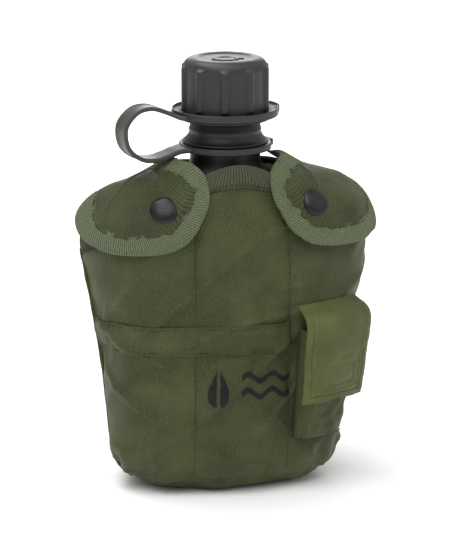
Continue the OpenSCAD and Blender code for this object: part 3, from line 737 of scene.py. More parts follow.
def wrinkle_back(panel):
    x, z = panel.base[..., 0], panel.base[..., 2]
    u, v = panel.uv[..., 0], panel.uv[..., 1]
    push = 0.8 * waves(u, v, 50, 21, stretch=1.5, turn=80)
    push += 0.8 * (creases(u, v, 60, 22, stretch=2.2, turn=-40) - 0.35) * ease((z - 12) / 20)
    push += 0.25 * waves(u, v, 13, 25, stretch=1.8, turn=20)
    flat = ease((np.abs(x) - 46) / 12) + ease((np.abs(z - 99) - 32) / 12)
    push = push * np.clip(flat, 0, 1) * ease((90 - np.abs(panel.turns[:, None] - 90)) / 8)
    push = push * ease(panel.rises / 7) * ease((BACK_EDGE - panel.rises) / 8)
    panel.push(push)
    panel.settle()


front = Panel(180, front_edge, PANEL[1], 210, 200)
wrinkle_front(front)
back = Panel(0, back_edge, PANEL[1], 180, 170)
wrinkle_back(back)


def make_panels():
    fabric_t = PANEL[1] - PANEL[0]
    slab("cover_front", front.points, fabric_t, "cover", "root",
         ["cover_front_panel"], front.uv, front.normals)
    slab("cover_back", back.points, fabric_t, "cover", "root",
         ["cover_back_panel"], back.uv, back.normals)


def make_liners():
    for name, start, edge, seed in (("front", 180, front_edge, 31), ("back", 0, back_edge, 32)):
        liner = Panel(start, edge, LINER[1], 110, 100, drop=1.5)
        u, v = liner.uv[..., 0], liner.uv[..., 1]
        fluff = 0.16 * waves(u, v, 3.2, seed) + 0.08 * waves(u, v, 1.7, seed + 5)
        liner.push(np.minimum(fluff, 0.2) - 0.15)
        slab(f"pile_{name}", liner.points, LINER[1] - LINER[0] - 0.3, "pile", "root",
             [f"liner_{name}"], liner.uv, liner.normals)


# ---------------------------------------------------------------- tapes


def folded_tape(name, us, edge_at, layer, width, legs, material, body, nodes, ribs=1.25, seed=1):
    """A woven tape folded over a fabric edge, with real ribs across it.

    edge_at(u, inset, off) gives points inside the edge. layer is (inner, outer) distance of the
    fabric that it holds, and legs how far the tape stands off it on each side.
    """
    coarse = edge_at(us, 0.0, layer[1])
    run = run_along(coarse)
    count = int(run[-1] / ribs) * 5
    u = np.interp(np.linspace(0, run[-1], count), run, us)
    s = np.linspace(0, run[-1], count)
    rib = 0.2 * np.abs(np.sin(np.pi * s / ribs)) - 0.12
    wide = width + 0.35 * waves(s, s * 0, 16, seed) + 0.12 * waves(s, s * 0, 4, seed + 1)
    pucker = 0.22 * waves(s, s * 0, 5.5, seed + 2)
    reach = np.array([1, 0.93, 0.82, 0.68, 0.52, 0.36, 0.22, 0.1])
    crown = np.array([-0.05, -0.35, 0.0, 0.2, 0.3, 0.35, 0.32, 0.2])
    sewn = np.array([0.6, 1, 0.9, 0.6, 0.35, 0.2, 0.1, 0.0])
    skin = 0.7
    outline = []
    for r, c, k in zip(reach, crown, sewn):
        outline.append((wide * r, layer[1] + legs[1] + c + rib + pucker * k))
    middle, half = (layer[0] + layer[1]) / 2, (layer[1] - layer[0]) / 2
    for a in np.radians([65, 35, 0, -35, -65]):
        r_out = half + legs[1] * 0.9 + rib * 0.8
        outline.append((-1.15 * math.cos(a) + 0 * s, middle + r_out * math.sin(a) * 1.05))
    for r in reach[::-1]:
        outline.append((wide * r, layer[0] - legs[0] + 0 * s))
    inner = [(wide * r, layer[0] - legs[0] + skin * 0.5 + 0 * s) for r in (1, 0.5, 0.1)]
    inner += [(wide * r, layer[1] + legs[1] - skin + 0 * s) for r in (0.1, 0.5, 1)]
    rings = np.stack([edge_at(u, i, o) for i, o in outline + inner], 1)
    uv = np.zeros((count, rings.shape[1], 2))
    uv[..., 0] = s[:, None]
    uv[:, 1:, 1] = np.cumsum(np.linalg.norm(np.diff(rings, axis=1), axis=-1), 1)
    return swept(name, rings, material, body, nodes, uv)


def make_collar():
    turns = np.linspace(182.0, 358.0, 400)

    def edge_at(turn, inset, off):
        turn, inset, off = floats(turn, inset, off)
        rise = front_edge(turn) - inset * RISE_PER_MM
        slack = front.sample(front.points - front.base, turn, np.minimum(rise, front_edge(turn)))
        return off_point(rise, turn, off) + slack

    folded_tape("collar_tape", turns, edge_at, PANEL, 10.0, (0.5, 1.0), "collar", "root",
                ["collar_binding"], seed=41)
    line = edge_at(turns, 8.6, PANEL[1] + 0.95)
    stitches("collar_stitches", [(line, bottle_normal(front_edge(turns), turns))], "root")


def bead(name, line, normals, width, height, body, nodes, material="seam", ribs=1.2):
    """A narrow half-round tape along a seam."""
    length = np.linalg.norm(np.diff(line, axis=0), axis=1).sum()
    count = int(length / ribs) * 4
    both = even(np.concatenate([line, normals], 1), count)
    c, n = both[:, :3], unit(both[:, 3:])
    side = unit(np.cross(np.gradient(c, axis=0), n))
    s = np.linspace(0, length, count)
    rib = 1 + 0.09 * np.sin(2 * np.pi * s / ribs) + 0.08 * waves(s, s * 0, 11, 51)
    angle = np.radians(np.linspace(-10, 190, 9))
    ring = (c[:, None] + (side[:, None] * np.cos(angle)[None, :, None] * width / 2
                          + n[:, None] * np.sin(angle)[None, :, None] * height) * rib[:, None, None])
    return swept(name, ring, material, body, nodes)


def make_side_seams():
    for name, turn in (("left", 180.0), ("right", 0.0)):
        rise = np.linspace(6.0, 117.0, 200)
        line = off_point(rise, turn, PANEL[1] - 0.5)
        normals = bottle_normal(rise, turn)
        bead(f"side_seam_tape_{name}", line, normals, 3.4, 1.7, "root", [f"side_seam_{name}"])


def make_band():
    """The flat band across the front, from the left side seam to the pocket."""
    turns = np.linspace(183.5, 291.5, 150)[:, None]
    across = np.linspace(-1, 1, 20)[None, :]
    edge = np.abs(across)
    rise = BAND_Z + BAND_W / 2 - BASE_Z + across * (BAND_W / 2 + 0.4)
    off = 0.45 + 0.8 * (1 - edge**8) - 0.45 * gauss(edge - 0.78, 0.1) + 0.45 * (1 - edge**2)
    off = off + 0.25 * waves(turns * 1.2, across * 6, 9, 61)
    points, _ = front.at(turns, rise + 0 * turns, off)
    slab("front_band_cloth", points, 0.8, "cover", "root", ["front_band"])
    t = turns[:, 0]
    middle = BAND_Z + BAND_W / 2 - BASE_Z
    rows = [front.at(t, middle + side * BAND_W / 2 + 0 * t, 0.85) for side in (-0.8, 0.8)]
    stitches("band_stitches", rows, "root")


def make_front_seams():
    rows = []
    for x in (-SEAM_X, SEAM_X):
        for low, high in ((10.0, BAND_Z - BASE_Z - 1), (BAND_Z + BAND_W - BASE_Z + 1, 128.0)):
            rise = np.linspace(low, high, 90)
            turn = front.turn_at_x(x, rise)
            rows.append(front.at(turn, rise, 0.1))
    stitches("front_stitches", rows, "root")


# ---------------------------------------------------------------- shoulder flaps

FLAP_REACH = 70.5
FLAP_HALF = 17.0
FLAP_HALF_ROOT = 13.0
FLAP_ROUND_FROM = 40.0
FLAP_BACK = 8.0
FLAP_SEWN = 26.0
FLAP_T = 1.1
TAPE_W = 9.0
SNAP_ANGLE = 53.0
SNAP_Z = 141.0
TIP_POWER = 2.6
STRAIGHT = 0.45


def flap_mid(angle):
    return np.where(angle < FLAP_ROUND_FROM, mixed(147.0, 143.0, ease(angle / FLAP_ROUND_FROM)),
                    mixed(143.0, 141.5, (angle - FLAP_ROUND_FROM) / (FLAP_REACH - FLAP_ROUND_FROM)))


def flap_width(angle):
    return mixed(FLAP_HALF_ROOT, FLAP_HALF, ease(angle / FLAP_ROUND_FROM))


def flap_off(angle):
    low = mixed(8.6, 10.3, ease((angle + FLAP_BACK) / 26))
    return mixed(7.35, low, ease((angle + 22) / 14))


def flap_edge(u, inset):
    """A point of the flap's outline as (angle from the ridge, height). u is 1 or more at the sewn end."""
    u, inset = floats(u, inset)
    size = np.abs(u)
    q = np.radians(90 * (1 - np.minimum(size / (1 - STRAIGHT), 1)))
    straight = mixed(FLAP_ROUND_FROM, -FLAP_BACK, (size - 1 + STRAIGHT) / STRAIGHT)
    round_end = FLAP_ROUND_FROM + (FLAP_REACH - FLAP_ROUND_FROM - inset * DEG_PER_MM) * np.sin(q)
    angle = np.where(size > 1 - STRAIGHT, straight, round_end)
    narrow = np.maximum(1 - np.sin(q)**TIP_POWER, 0)**(1 / TIP_POWER)
    return angle, flap_mid(angle) + np.sign(u) * narrow * (flap_width(angle) - inset * RISE_PER_MM)


class Flap:
    """One shoulder flap. side is -1 on the left and 1 on the right."""

    def __init__(self, name, side, seed):
        self.name, self.side, self.seed = name, side, seed
        self.body = f"flap_{name}"

    def point(self, angle, z, off):
        """A point off the flap's inner face, with the slack of the cloth in it."""
        angle, z = floats(angle, z)
        wide = angle * DEG_PER_MM
        slack = 0.75 * waves(wide, z, 26, self.seed, stretch=1.5, turn=40)
        slack = slack + 0.9 * (creases(wide, z, 32, self.seed + 1, stretch=2.2, turn=-30) - 0.3)
        slack = np.maximum(slack, -0.6) * ease((angle + 10) / 20)
        corner = 4.0 * gauss(angle - 3, 15) * gauss(z - 141, 7)
        p = off_point(z - BASE_Z, 360 - angle, flap_off(angle) + off + slack + corner)
        return p * np.array([self.side, 1, 1])

    def edge(self, u, inset, off):
        u, inset, off = floats(u, inset, off)
        angle, z = flap_edge(u, inset)
        return self.point(angle, z, off)

    def grid(self, inset, off, sizes, rows):
        t = np.linspace(0, 1, rows)[None, :]
        low, high = flap_edge(-sizes, inset), flap_edge(sizes, inset)
        angle = mixed(low[0][:, None], high[0][:, None], t)
        z = mixed(low[1][:, None], high[1][:, None], t)
        if callable(off):
            off = off(angle, z)
        return self.point(angle, z, off), angle, z

    def bend_at_ridge(self, piece):
        """Clear the cloth's parent and bake its placement into its mesh."""
        piece.parent = None
        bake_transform(piece)

    def make(self):
        sewn_end = 1 + (FLAP_SEWN - FLAP_BACK) / 106
        sizes = np.concatenate([np.linspace(sewn_end, 0.56, 60), np.linspace(0.55, 0.035, 60)])
        order = slice(None) if self.side > 0 else slice(None, None, -1)

        def puff(angle, z):
            """The cloth is drawn down at the tape's stitching and swells inside it."""
            inner = flap_width(angle) - np.abs(z - flap_mid(angle))
            inset = np.minimum(inner / RISE_PER_MM, (FLAP_REACH - angle) / DEG_PER_MM)
            return FLAP_T - 0.3 + 1.5 * ease((inset - 6.5) / 7) * ease((angle + 12) / 30)

        points, _, _ = self.grid(0, puff, sizes[order], 80)
        cloth = slab(f"flap_cloth_{self.name}", points, FLAP_T, "flap", None,
                     [f"flap_{self.name}"])
        self.bend_at_ridge(cloth)
        lining, _, _ = self.grid(TAPE_W - 2.5, -0.25, np.linspace(0.78, 0.05, 70)[order], 40)
        u = np.arange(70)[:, None] * 0.7 + 0 * np.arange(40)[None, :]
        v = np.arange(40)[None, :] * 0.7 + 0 * u
        fluff = 0.25 * waves(u, v, 3, self.seed + 7)
        slab(f"flap_pile_{self.name}", lining, 1.9 + np.clip(fluff, -0.3, 0.2), "pile", self.body,
             [f"flap_{self.name}_liner"])
        us = np.linspace(-1.02, 0.98, 500)[order] if self.side > 0 else np.linspace(0.98, -1.02, 500)
        folded_tape(f"flap_tape_{self.name}", us, self.edge, (0, FLAP_T), 7.2, (0.6, 1.0), "tape",
                    self.body, [f"flap_{self.name}_binding"], seed=self.seed + 20)
        line = self.edge(us, 6.3, FLAP_T + 0.8)
        lower = self.edge(us, 6.3, FLAP_T - 0.2)
        stitches(f"flap_stitches_{self.name}", [(line, unit(line - lower))], self.body)
        self.make_snap()

    def make_snap(self):
        mirror = np.array([self.side, 1, 1])
        at = bottle_point(SNAP_Z - BASE_Z, 360 - SNAP_ANGLE) * mirror
        n = bottle_normal(SNAP_Z - BASE_Z, 360 - SNAP_ANGLE) * mirror
        across = unit(np.cross(n, [0, 0, 1.0]))
        up = np.cross(across, n)

        def place(p):
            return at + p[..., :1] * across + p[..., 1:2] * up + p[..., 2:] * n

        base = 10.3 + FLAP_T + 0.5
        dome = [(0.01, base - 1.4), (2.2, base - 1.4), (2.3, base + 0.2), (6.6, base + 0.1)]
        dome += arc((6.9, base + 0.55), 0.5, -90, 60, 8)
        dome += [(7.0 * math.cos(a), base + 0.9 + 2.5 * math.sin(a))
                 for a in np.radians(np.linspace(8, 89.8, 16))]
        turned(f"snap_dome_{self.name}", dome, "snap", self.body,
               [f"snap_cap_{self.name}"], 72, place)


# ---------------------------------------------------------------- pocket

POCKET_Z = (29.0, 86.0)
POCKET_IN = 7.3
POCKET_OUT = POCKET_IN + 8.6
FLAP_LOW_Z = 51.0


def pocket_point(turn, z, off):
    """A point that lies off the smooth cover, so that the pocket keeps its own shape."""
    turn, z, off = floats(turn, z, off)
    return off_point(z - BASE_Z, turn, off)


POUCH_TURNS = (296.0, 323.6)


def make_pocket():
    """The pouch: a front face and gussets that run back to the cover."""
    w = np.linspace(0, 1, 100)[:, None]
    v = np.linspace(0, 1, 90)[None, :]
    turn = mixed(*POUCH_TURNS, w)
    z = mixed(POCKET_Z[0] - 1.5, POCKET_Z[1], v)
    z = z + 1.6 * (2 * w - 1)**2 * (1 - v)
    side = np.maximum(1 - np.abs(2 * w - 1)**9, 0)**(1 / 3)
    floor_in = np.maximum(1 - (1 - v)**16, 0)**(1 / 3)
    deep = side * floor_in
    off = PANEL[1] + (POCKET_OUT - PANEL[1] - 0.5) * deep * mixed(0.6, 1, ease(v / 0.5))
    off = off + (0.7 * waves(w * 40, v * 58, 22, 71) + 0.45 * waves(w * 40, v * 58, 9, 72)) * deep
    fold = creases(w * 40, v * 58, 26, 73, stretch=2, turn=60) - 0.3
    off = off + 1.1 * fold * deep * (1 - ease((v - 0.4) / 0.2))
    slab("pocket_pouch", pocket_point(turn, z, off), 1.0, "cover", "root", ["pocket_body"])
    hem = np.linspace(0.03, 0.97, 80)
    line_turn = mixed(*POUCH_TURNS, hem)
    line_z = POCKET_Z[0] + 0.4 + 1.6 * (2 * hem - 1)**2
    rows = [(pocket_point(line_turn, line_z, PANEL[1] + 5.3), bottle_normal(line_z - BASE_Z, line_turn))]
    stitches("pocket_stitches", rows, "root")


POCKET_FLAP_TURNS = (294.0, 324.8)
POCKET_FLAP_PATH = [
    [98.5, 7.6], [97.4, 8.6], [96.0, 11.4], [94.9, 14.2], [93.4, 16.5], [91.2, 17.9],
    [88, 18.4], [81, 18.5], [71, 18.5], [61, 18.4], [FLAP_LOW_Z, 18.3],
]
POCKET_FLAP_SIZE = (38.0, 58.0)
# The sewn box that holds the hook tape: middle as shares of the flap, half width and half height
BOX_AT = (0.54, 0.76)
BOX_HALF = (7.5, 5.2)


def pocket_flap_point(w, t, lift):
    """A point of the flap: w runs across it and t from its sewn edge over the fold to its lower edge."""
    line = smooth_line(POCKET_FLAP_PATH, 400)
    run = np.linspace(0, 1, 400)
    w, t = floats(w, t)
    z, off = np.interp(t, run, line[:, 0]), np.interp(t, run, line[:, 1])
    wide, tall = POCKET_FLAP_SIZE
    free = ease((t - 0.12) / 0.25)
    soft = 0.55 * waves(w * wide, t * tall, 24, 81, stretch=1.4, turn=30)
    soft = soft + 0.22 * waves(w * wide, t * tall, 9, 82)
    belly = 1.2 * np.sin(np.pi * np.clip(w, 0, 1)) * np.sin(np.pi * np.clip((t - 0.2) / 0.8, 0, 1))
    z = z + 1.3 * (w - 0.5) * (1 - free) - 1.0 * (2 * w - 1)**2 * free * 0.6
    return pocket_point(mixed(*POCKET_FLAP_TURNS, w), z, off + (soft + belly) * free + lift)


def make_pocket_flap():
    w = np.linspace(0, 1, 110)[:, None]
    t = np.linspace(0, 1, 130)[None, :]
    wide, tall = POCKET_FLAP_SIZE
    edge = np.minimum(np.minimum(w, 1 - w) * wide, (1 - t) * tall)
    hem = 0.5 * (1 - ease((edge - 4.6) / 1.4)) - 0.55 * gauss(edge - 3.6, 0.8)
    box = np.maximum(np.abs(w - BOX_AT[0]) * wide - BOX_HALF[0], np.abs(t - BOX_AT[1]) * tall - BOX_HALF[1])
    hem = hem - 0.4 * gauss(box, 1.0)
    flap = slab("pocket_flap_cloth", pocket_flap_point(w, t, hem + 0.3), 1.2, "pocket", None,
                ["pocket_flap", "pocket_flap_root"])
    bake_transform(flap)
    inset = 3.6
    low_t, side_w = 1 - inset / tall, inset / wide
    down = np.linspace(0.24, low_t, 60)
    over = np.linspace(side_w, 1 - side_w, 60)
    bw = np.linspace(BOX_AT[0] - BOX_HALF[0] / wide, BOX_AT[0] + BOX_HALF[0] / wide, 30)
    bt = np.linspace(BOX_AT[1] - BOX_HALF[1] / tall, BOX_AT[1] + BOX_HALF[1] / tall, 30)
    lines = [(side_w + 0 * down, down), (over, low_t + 0 * over), (1 - side_w + 0 * down, down)]
    lines += [(bw, bt[0] + 0 * bw), (bw, bt[-1] + 0 * bw), (bw[0] + 0 * bt, bt), (bw[-1] + 0 * bt, bt)]
    rows = []
    for lw, lt in lines:
        line = pocket_flap_point(lw, lt, 0.1)
        rows.append((line, unit(pocket_flap_point(lw, lt, 1.1) - line)))
    stitches("pocket_flap_stitches", rows, "pocket_flap", 2.4)


def make_pocket_tapes():
    turn = np.linspace(300, 318, 40)[:, None]
    z = np.linspace(54, 70, 36)[None, :]
    for name, lift, body in (("loop", 0.65, "root"), ("hook", 1.65, "pocket_flap")):
        points = pocket_point(turn, z, POCKET_OUT + lift)
        slab(f"pocket_{name}", points, 0.6, "hook", body, [f"pocket_{name}_tape"])


# ---------------------------------------------------------------- bottle, cap and tether

CAP_Z = 187.0
CAP_TOP = 218.0
CAP_R = 22.8
LIP_Z = 210.6
FINISH_R = 16.2
MOUTH_R = 12.6
RIB_Z = CAP_Z + 5
GROOVE_Z = CAP_Z + 1.4
RIBS = 10
RIB_TURN = 256.0
STRAP_TURN = 191.0


def make_bottle():
    steps = 120
    turns = np.arange(steps) * 360 / steps
    top = NECK_Z - BASE_Z
    rises = np.concatenate([np.linspace(0, 10, 8), np.linspace(14, 98, 18), np.linspace(101, top, 40)])
    outer = bottle_point(rises[None, :], turns[:, None])
    inner = off_point(rises[None, ::-1], turns[:, None], -2.0)
    neck = [(17.6, 167.5), (17.6, 171.3)] + arc((17.3, 171.35), 0.3, 0, 90, 4)
    neck += [(16.9, 171.7), (16.9, 175.2), (20.6, 175.45)] + arc((21.0, 175.95), 0.5, -90, 70, 8)
    neck += [(20.4, 176.9), (19.2, 178.2), (18.3, 179.8), (17.9, 181.2), (18.2, 181.6), (18.2, 182.4),
             (17.8, 182.8), (17.6, 185.6), (17.3, 186.1), (16.2, 186.6), (15.3, 187.2), (15.3, 209.2)]
    neck += arc((14.6, LIP_Z - 0.7), 0.7, 0, 90, 5) + arc((MOUTH_R + 0.5, LIP_Z - 0.5), 0.5, 90, 180, 5)
    neck += [(MOUTH_R, 207), (MOUTH_R, 188), (13.4, 186), (15.9, 182.5), (16.0, 168)]
    around = np.radians(turns)[:, None]
    neck = np.array(neck)
    ring = np.stack([neck[None, :, 0] * np.cos(around), neck[None, :, 0] * np.sin(around),
                     neck[None, :, 1] + 0 * around], -1)
    grid = np.concatenate([outer, ring, inner], 1)
    cols, rows = grid.shape[:2]
    faces = grid_faces(cols, rows, wrap_cols=True)
    points = grid.reshape(-1, 3)
    ends = np.array([grid[:, 0].mean(0), grid[:, -1].mean(0)])
    n = len(points)
    faces += [[n, ((i + 1) % cols) * rows, i * rows] for i in range(cols)]
    faces += [[n + 1, i * rows + rows - 1, ((i + 1) % cols) * rows + rows - 1] for i in range(cols)]
    mesh_piece("bottle_shell", np.concatenate([points, ends]), faces, "bottle", "root",
               None, ["bottle"])
    helix_thread("neck_thread", 15.2, FINISH_R - 0.1, 190.5, 6.5, 2.2, "bottle", "root")


def helix_thread(name, r_root, r_crest, z_low, pitch, turns, material, body):
    """A screw thread as a tapered ridge that runs out at both ends."""
    count = int(turns * 60)
    angle = np.linspace(0, turns * 2 * math.pi, count)
    run_out = ease(np.minimum(angle, angle[-1] - angle) / 0.6)
    height = (r_crest - r_root) * run_out
    z = z_low + pitch * angle / (2 * math.pi)
    shape = [(-0.2, -1.5), (0.75, -0.75), (1.0, -0.35), (1.0, 0.35), (0.75, 0.75), (-0.2, 1.5)]
    rings = np.stack([np.stack([(r_root + s * height) * np.cos(angle), (r_root + s * height) * np.sin(angle),
                                z + dz], -1) for s, dz in shape], 1)
    return swept(name, rings, material, body)


def make_cap():
    skirt = CAP_R - 1.6
    round_r = 5.0
    outer = [(16.9, CAP_Z + 0.3), (17.2, CAP_Z), (CAP_R - 0.5, CAP_Z), (CAP_R, CAP_Z + 0.4)]
    outer += [(CAP_R, GROOVE_Z - 0.2)]
    outer += [(skirt + 0.6, GROOVE_Z + 0.05), (skirt, GROOVE_Z + 0.3), (skirt, RIB_Z - 0.6)]
    outer += [(skirt, z) for z in np.linspace(RIB_Z - 0.2, CAP_TOP - round_r, 34)]
    outer += [(skirt - round_r + round_r * math.cos(a),
               CAP_TOP - 0.35 - round_r + round_r * math.sin(a) + 0.35 * math.sin(a))
              for a in np.radians(np.linspace(4, 86, 18))]
    outer += [(14.6, CAP_TOP), (13.6, CAP_TOP - 0.1)]
    outer += [(12.9, CAP_TOP - 0.45), (12.2, CAP_TOP - 0.6), (6, CAP_TOP - 0.62), (0.02, CAP_TOP - 0.62)]
    inner = [(0.02, LIP_Z + 2), (16.2, LIP_Z + 2), (16.9, LIP_Z + 1.3)]
    inner += [(16.9, z) for z in np.linspace(208, 190, 6)]
    profile = np.array(outer + inner)

    def swell(turn, pr):
        """Ten grip ribs, round in section, that fade into the dome and end just above the ring."""
        r, z = pr[..., 0], pr[..., 1]
        pitch = 360 / RIBS
        d = (np.mod(turn - RIB_TURN + pitch / 2, pitch) - pitch / 2) * math.radians(1) * skirt
        rib = np.sqrt(np.maximum(1 - (d / 2.35)**2, 0)) * 1.75
        rib = np.maximum(rib - 0.15, 0)
        foot = ease((z - RIB_Z + 0.4) / 1.6)
        head = ease((CAP_TOP - 3.4 - z) / 1.4)
        on = (r > skirt - 3.5) & (z > RIB_Z - 0.5)
        return np.where(on, rib * foot * head, 0)

    turned("cap_shell", profile, "cap", "cap", ["cap"], 360, swell=swell)
    make_cap_mark()


def make_cap_mark():
    """A plain raised arrow on top that shows which way the cap turns."""
    z = CAP_TOP - 0.62
    angle = np.radians(np.linspace(200, 330, 40))
    width = np.full(40, 0.9)
    ring = []
    for side, lift in ((-1, -0.2), (-1, 0.4), (1, 0.4), (1, -0.2)):
        r = 7.2 + side * width
        ring.append(np.stack([r * np.cos(angle), r * np.sin(angle), np.full(40, z + lift)], -1))
    swept("cap_arrow_bar", np.stack(ring, 1), "cap", "cap")
    tip = math.radians(352)
    base = math.radians(328)
    corners = [(4.6, base), (9.8, base), (7.2, tip)]
    low = [(r * math.cos(a), r * math.sin(a), z - 0.2) for r, a in corners]
    high = [(r * math.cos(a), r * math.sin(a), z + 0.4) for r, a in corners]
    mesh_piece("cap_arrow_head", low + high, [[2, 1, 0], [3, 4, 5], [0, 1, 4, 3], [1, 2, 5, 4], [2, 0, 3, 5]],
               "cap", "cap", smooth=False)


def tab_swell(turn, half_angle, reach):
    """How far a pull tab widens a ring at a turn."""
    d = (np.mod(turn - (STRAP_TURN + 180) + 180, 360) - 180) / half_angle
    return reach * np.maximum(1 - d**4, 0)**0.5 * (np.abs(d) < 1)


def make_tether():
    r_in, r_out = CAP_R - 1.6 + 0.35, 26.8
    z0, z1 = GROOVE_Z + 0.35, RIB_Z - 0.35
    profile = [(r_in, z0 + 0.4), (r_in + 0.4, z0)] + arc((r_out - 0.9, z0 + 0.9), 0.9, -90, 0, 6)
    profile += [(r_out, z1 + 0.4)] + arc((r_out - 0.45, z1 + 0.6), 0.45, 0, 180, 8)
    profile += [(r_out - 1.1, z1 + 0.1), (r_out - 1.5, z1 - 0.25), (r_in + 0.4, z1 - 0.25), (r_in, z1 - 0.6)]
    turned("tether_ring_top", profile, "cap", "tether", ["tether_cap_ring"], 180,
           swell=lambda turn, pr: np.where(pr[..., 0] > r_out - 1.3, tab_swell(turn, 14, 1.8), 0))
    profile = [(17.15, 172.2), (17.5, 171.85)] + arc((22.6, 172.5), 0.65, -90, 0, 5)
    profile += arc((22.6, 174.45), 0.65, 0, 90, 5) + [(17.5, 175.05), (17.15, 174.7)]
    turned("tether_ring_neck", profile, "cap", "root", ["tether_neck_ring"], 150,
           swell=lambda turn, pr: np.where(pr[..., 0] > 21, tab_swell(turn, 11, 2.4), 0))
    make_strap()


def make_strap():
    route = [[24.6, 190.0], [28, 190.5], [33, 192.8], [42, 195.8], [50, 194.2], [56, 187], [54.8, 177],
             [48, 171], [40, 169.6], [33, 171], [28, 172.6], [23.8, 173.3], [21, 173.4]]
    count = 180
    line = smooth_line(route, count)
    tangent = unit(np.gradient(line, axis=0))
    normal = np.stack([-tangent[:, 1], tangent[:, 0]], -1)
    s = np.linspace(0, 1, count)
    wide = 12 + 7 * (1 - ease(s / 0.12)) + 4 * (1 - ease((1 - s) / 0.08))
    thick = 2.2
    ring = []
    corner = 0.45
    groove = 0.28
    half = thick / 2
    section = [(-1, -half + corner), (-1, half - corner), (-0.97, half - 0.1), (-0.93, half)]
    section += [(-0.8, half), (-0.72, half - groove), (0.72, half - groove), (0.8, half)]
    section += [(0.93, half), (0.97, half - 0.1), (1, half - corner), (1, -half + corner)]
    section += [(0.97, -half + 0.1), (0.93, -half), (0.5, -half), (-0.5, -half), (-0.93, -half)]
    section += [(-0.97, -half + 0.1)]
    flat_end = ease((s - 0.12) / 0.06) * ease((0.9 - s) / 0.06)
    turn = math.radians(STRAP_TURN)
    out, across = np.array([math.cos(turn), math.sin(turn)]), np.array([-math.sin(turn), math.cos(turn)])
    for w, h in section:
        recess = groove * (1 - flat_end) if h == half - groove else 0
        p = line + normal * (h + recess + 0 * s)[:, None]
        q = w * wide / 2
        x, y = p[:, 0] * out[0] + q * across[0], p[:, 0] * out[1] + q * across[1]
        ring.append(np.stack([x, y, p[:, 1]], -1))
    strap = swept("tether_band", np.stack(ring, 1), "strap", None, ["tether_strap"])
    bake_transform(strap)


# ---------------------------------------------------------------- the back


def keeper_rest(x):
    """Where the keeper lies on the cover, between and beside its loops."""
    return np.interp(np.abs(x), [0, 15, 32, 40, 44.5], [40.5, 40.5, 39.6, 38.2, 36.9])


def make_keeper():
    """Webbing sewn across the back in two loops that hold the belt clips."""
    lo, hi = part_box("clip_keeper")
    half_tunnel = 8.5 + 0.8
    clip_x = 27.0
    x = np.linspace(lo.x / MM, hi.x / MM, 260)
    d = np.abs(np.abs(x) - clip_x)
    bump = ease((half_tunnel + 3.2 - d) / 3)
    y = mixed(keeper_rest(x), 42.7, bump) + 1.3
    z = np.linspace(lo.z / MM, hi.z / MM, 90)
    rib = 0.1 * np.sin(2 * np.pi * z / 1.6)
    points = np.stack(np.broadcast_arrays(x[:, None], (y[:, None] + rib[None, :]), z[None, :]), -1)[::-1]
    slab("keeper_webbing", points, 1.15, "webbing", "root", ["clip_keeper"])
    rows = []
    for clip in (-clip_x, clip_x):
        for side in (-1, 1):
            sx = clip + side * (half_tunnel + 3.6)
            zz = np.linspace(z[0] + 1, z[-1] - 1, 60)
            yy = float(keeper_rest(sx)) + 1.35
            line = np.stack([np.full(60, sx), np.full(60, yy), zz], -1)
            rows.append((line, np.tile([0, 1.0, 0], (60, 1))))
    stitches("keeper_stitches", rows, "root", 2.4)


DRAIN_Y = 7.4
INSIDE_SEAM = 0.994


def base_cloth(name, low, high, hole, soft, material, node, seed):
    """A layer of cloth across the base, round the drain hole, with slack between the hole and the seam."""
    turns = np.arange(120) * 3.0
    rim = np.stack([hole * np.cos(np.radians(turns)), DRAIN_Y + hole * np.sin(np.radians(turns))], -1)
    edge = bottle_point(0, turns)[:, :2] * INSIDE_SEAM
    flat = mixed(rim[:, None, :], edge[:, None, :], np.linspace(0, 1, 26)[None, :, None])
    slack = soft * (0.5 + 0.5 * waves(flat[..., 0], flat[..., 1], 13, seed)).clip(0, 1)[..., None]
    under = np.concatenate([flat, low + slack], -1)
    above = np.concatenate([flat, high - 0.4 * slack], -1)
    ring = np.concatenate([under, above[:, ::-1]], 1)
    mesh_piece(name, ring, grid_faces(120, 52, wrap_cols=True, wrap_rows=True), material, "root",
               ring[..., :2], [node])


def make_base():
    base_cloth("base_cloth", 0.0, 1.25, 6.6, 0.35, "cover", "cover_base_panel", 61)
    base_cloth("base_pile", 2.9, 6.4, 7.2, 0.5, "pile", "liner_base", 62)


def dress_nodes():
    """CAD nodes whose shape is right keep it and get a better material."""
    dressed = {
        "clip_frame_left": "steel", "clip_frame_right": "steel", "clip_slide_left": "steel",
        "clip_slide_right": "steel", "drain_grommet": "snap", "drain_washer": "snap",
        "snap_stud_left": "snap", "snap_stud_right": "snap", "snap_socket_left": "snap",
        "snap_socket_right": "snap", "snap_post_left": "snap", "snap_post_right": "snap",
        "cap_gasket": "gasket",
    }
    for name, material in dressed.items():
        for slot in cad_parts[name].material_slots:
            slot.material = mat[material]


# ---------------------------------------------------------------- the painted mark


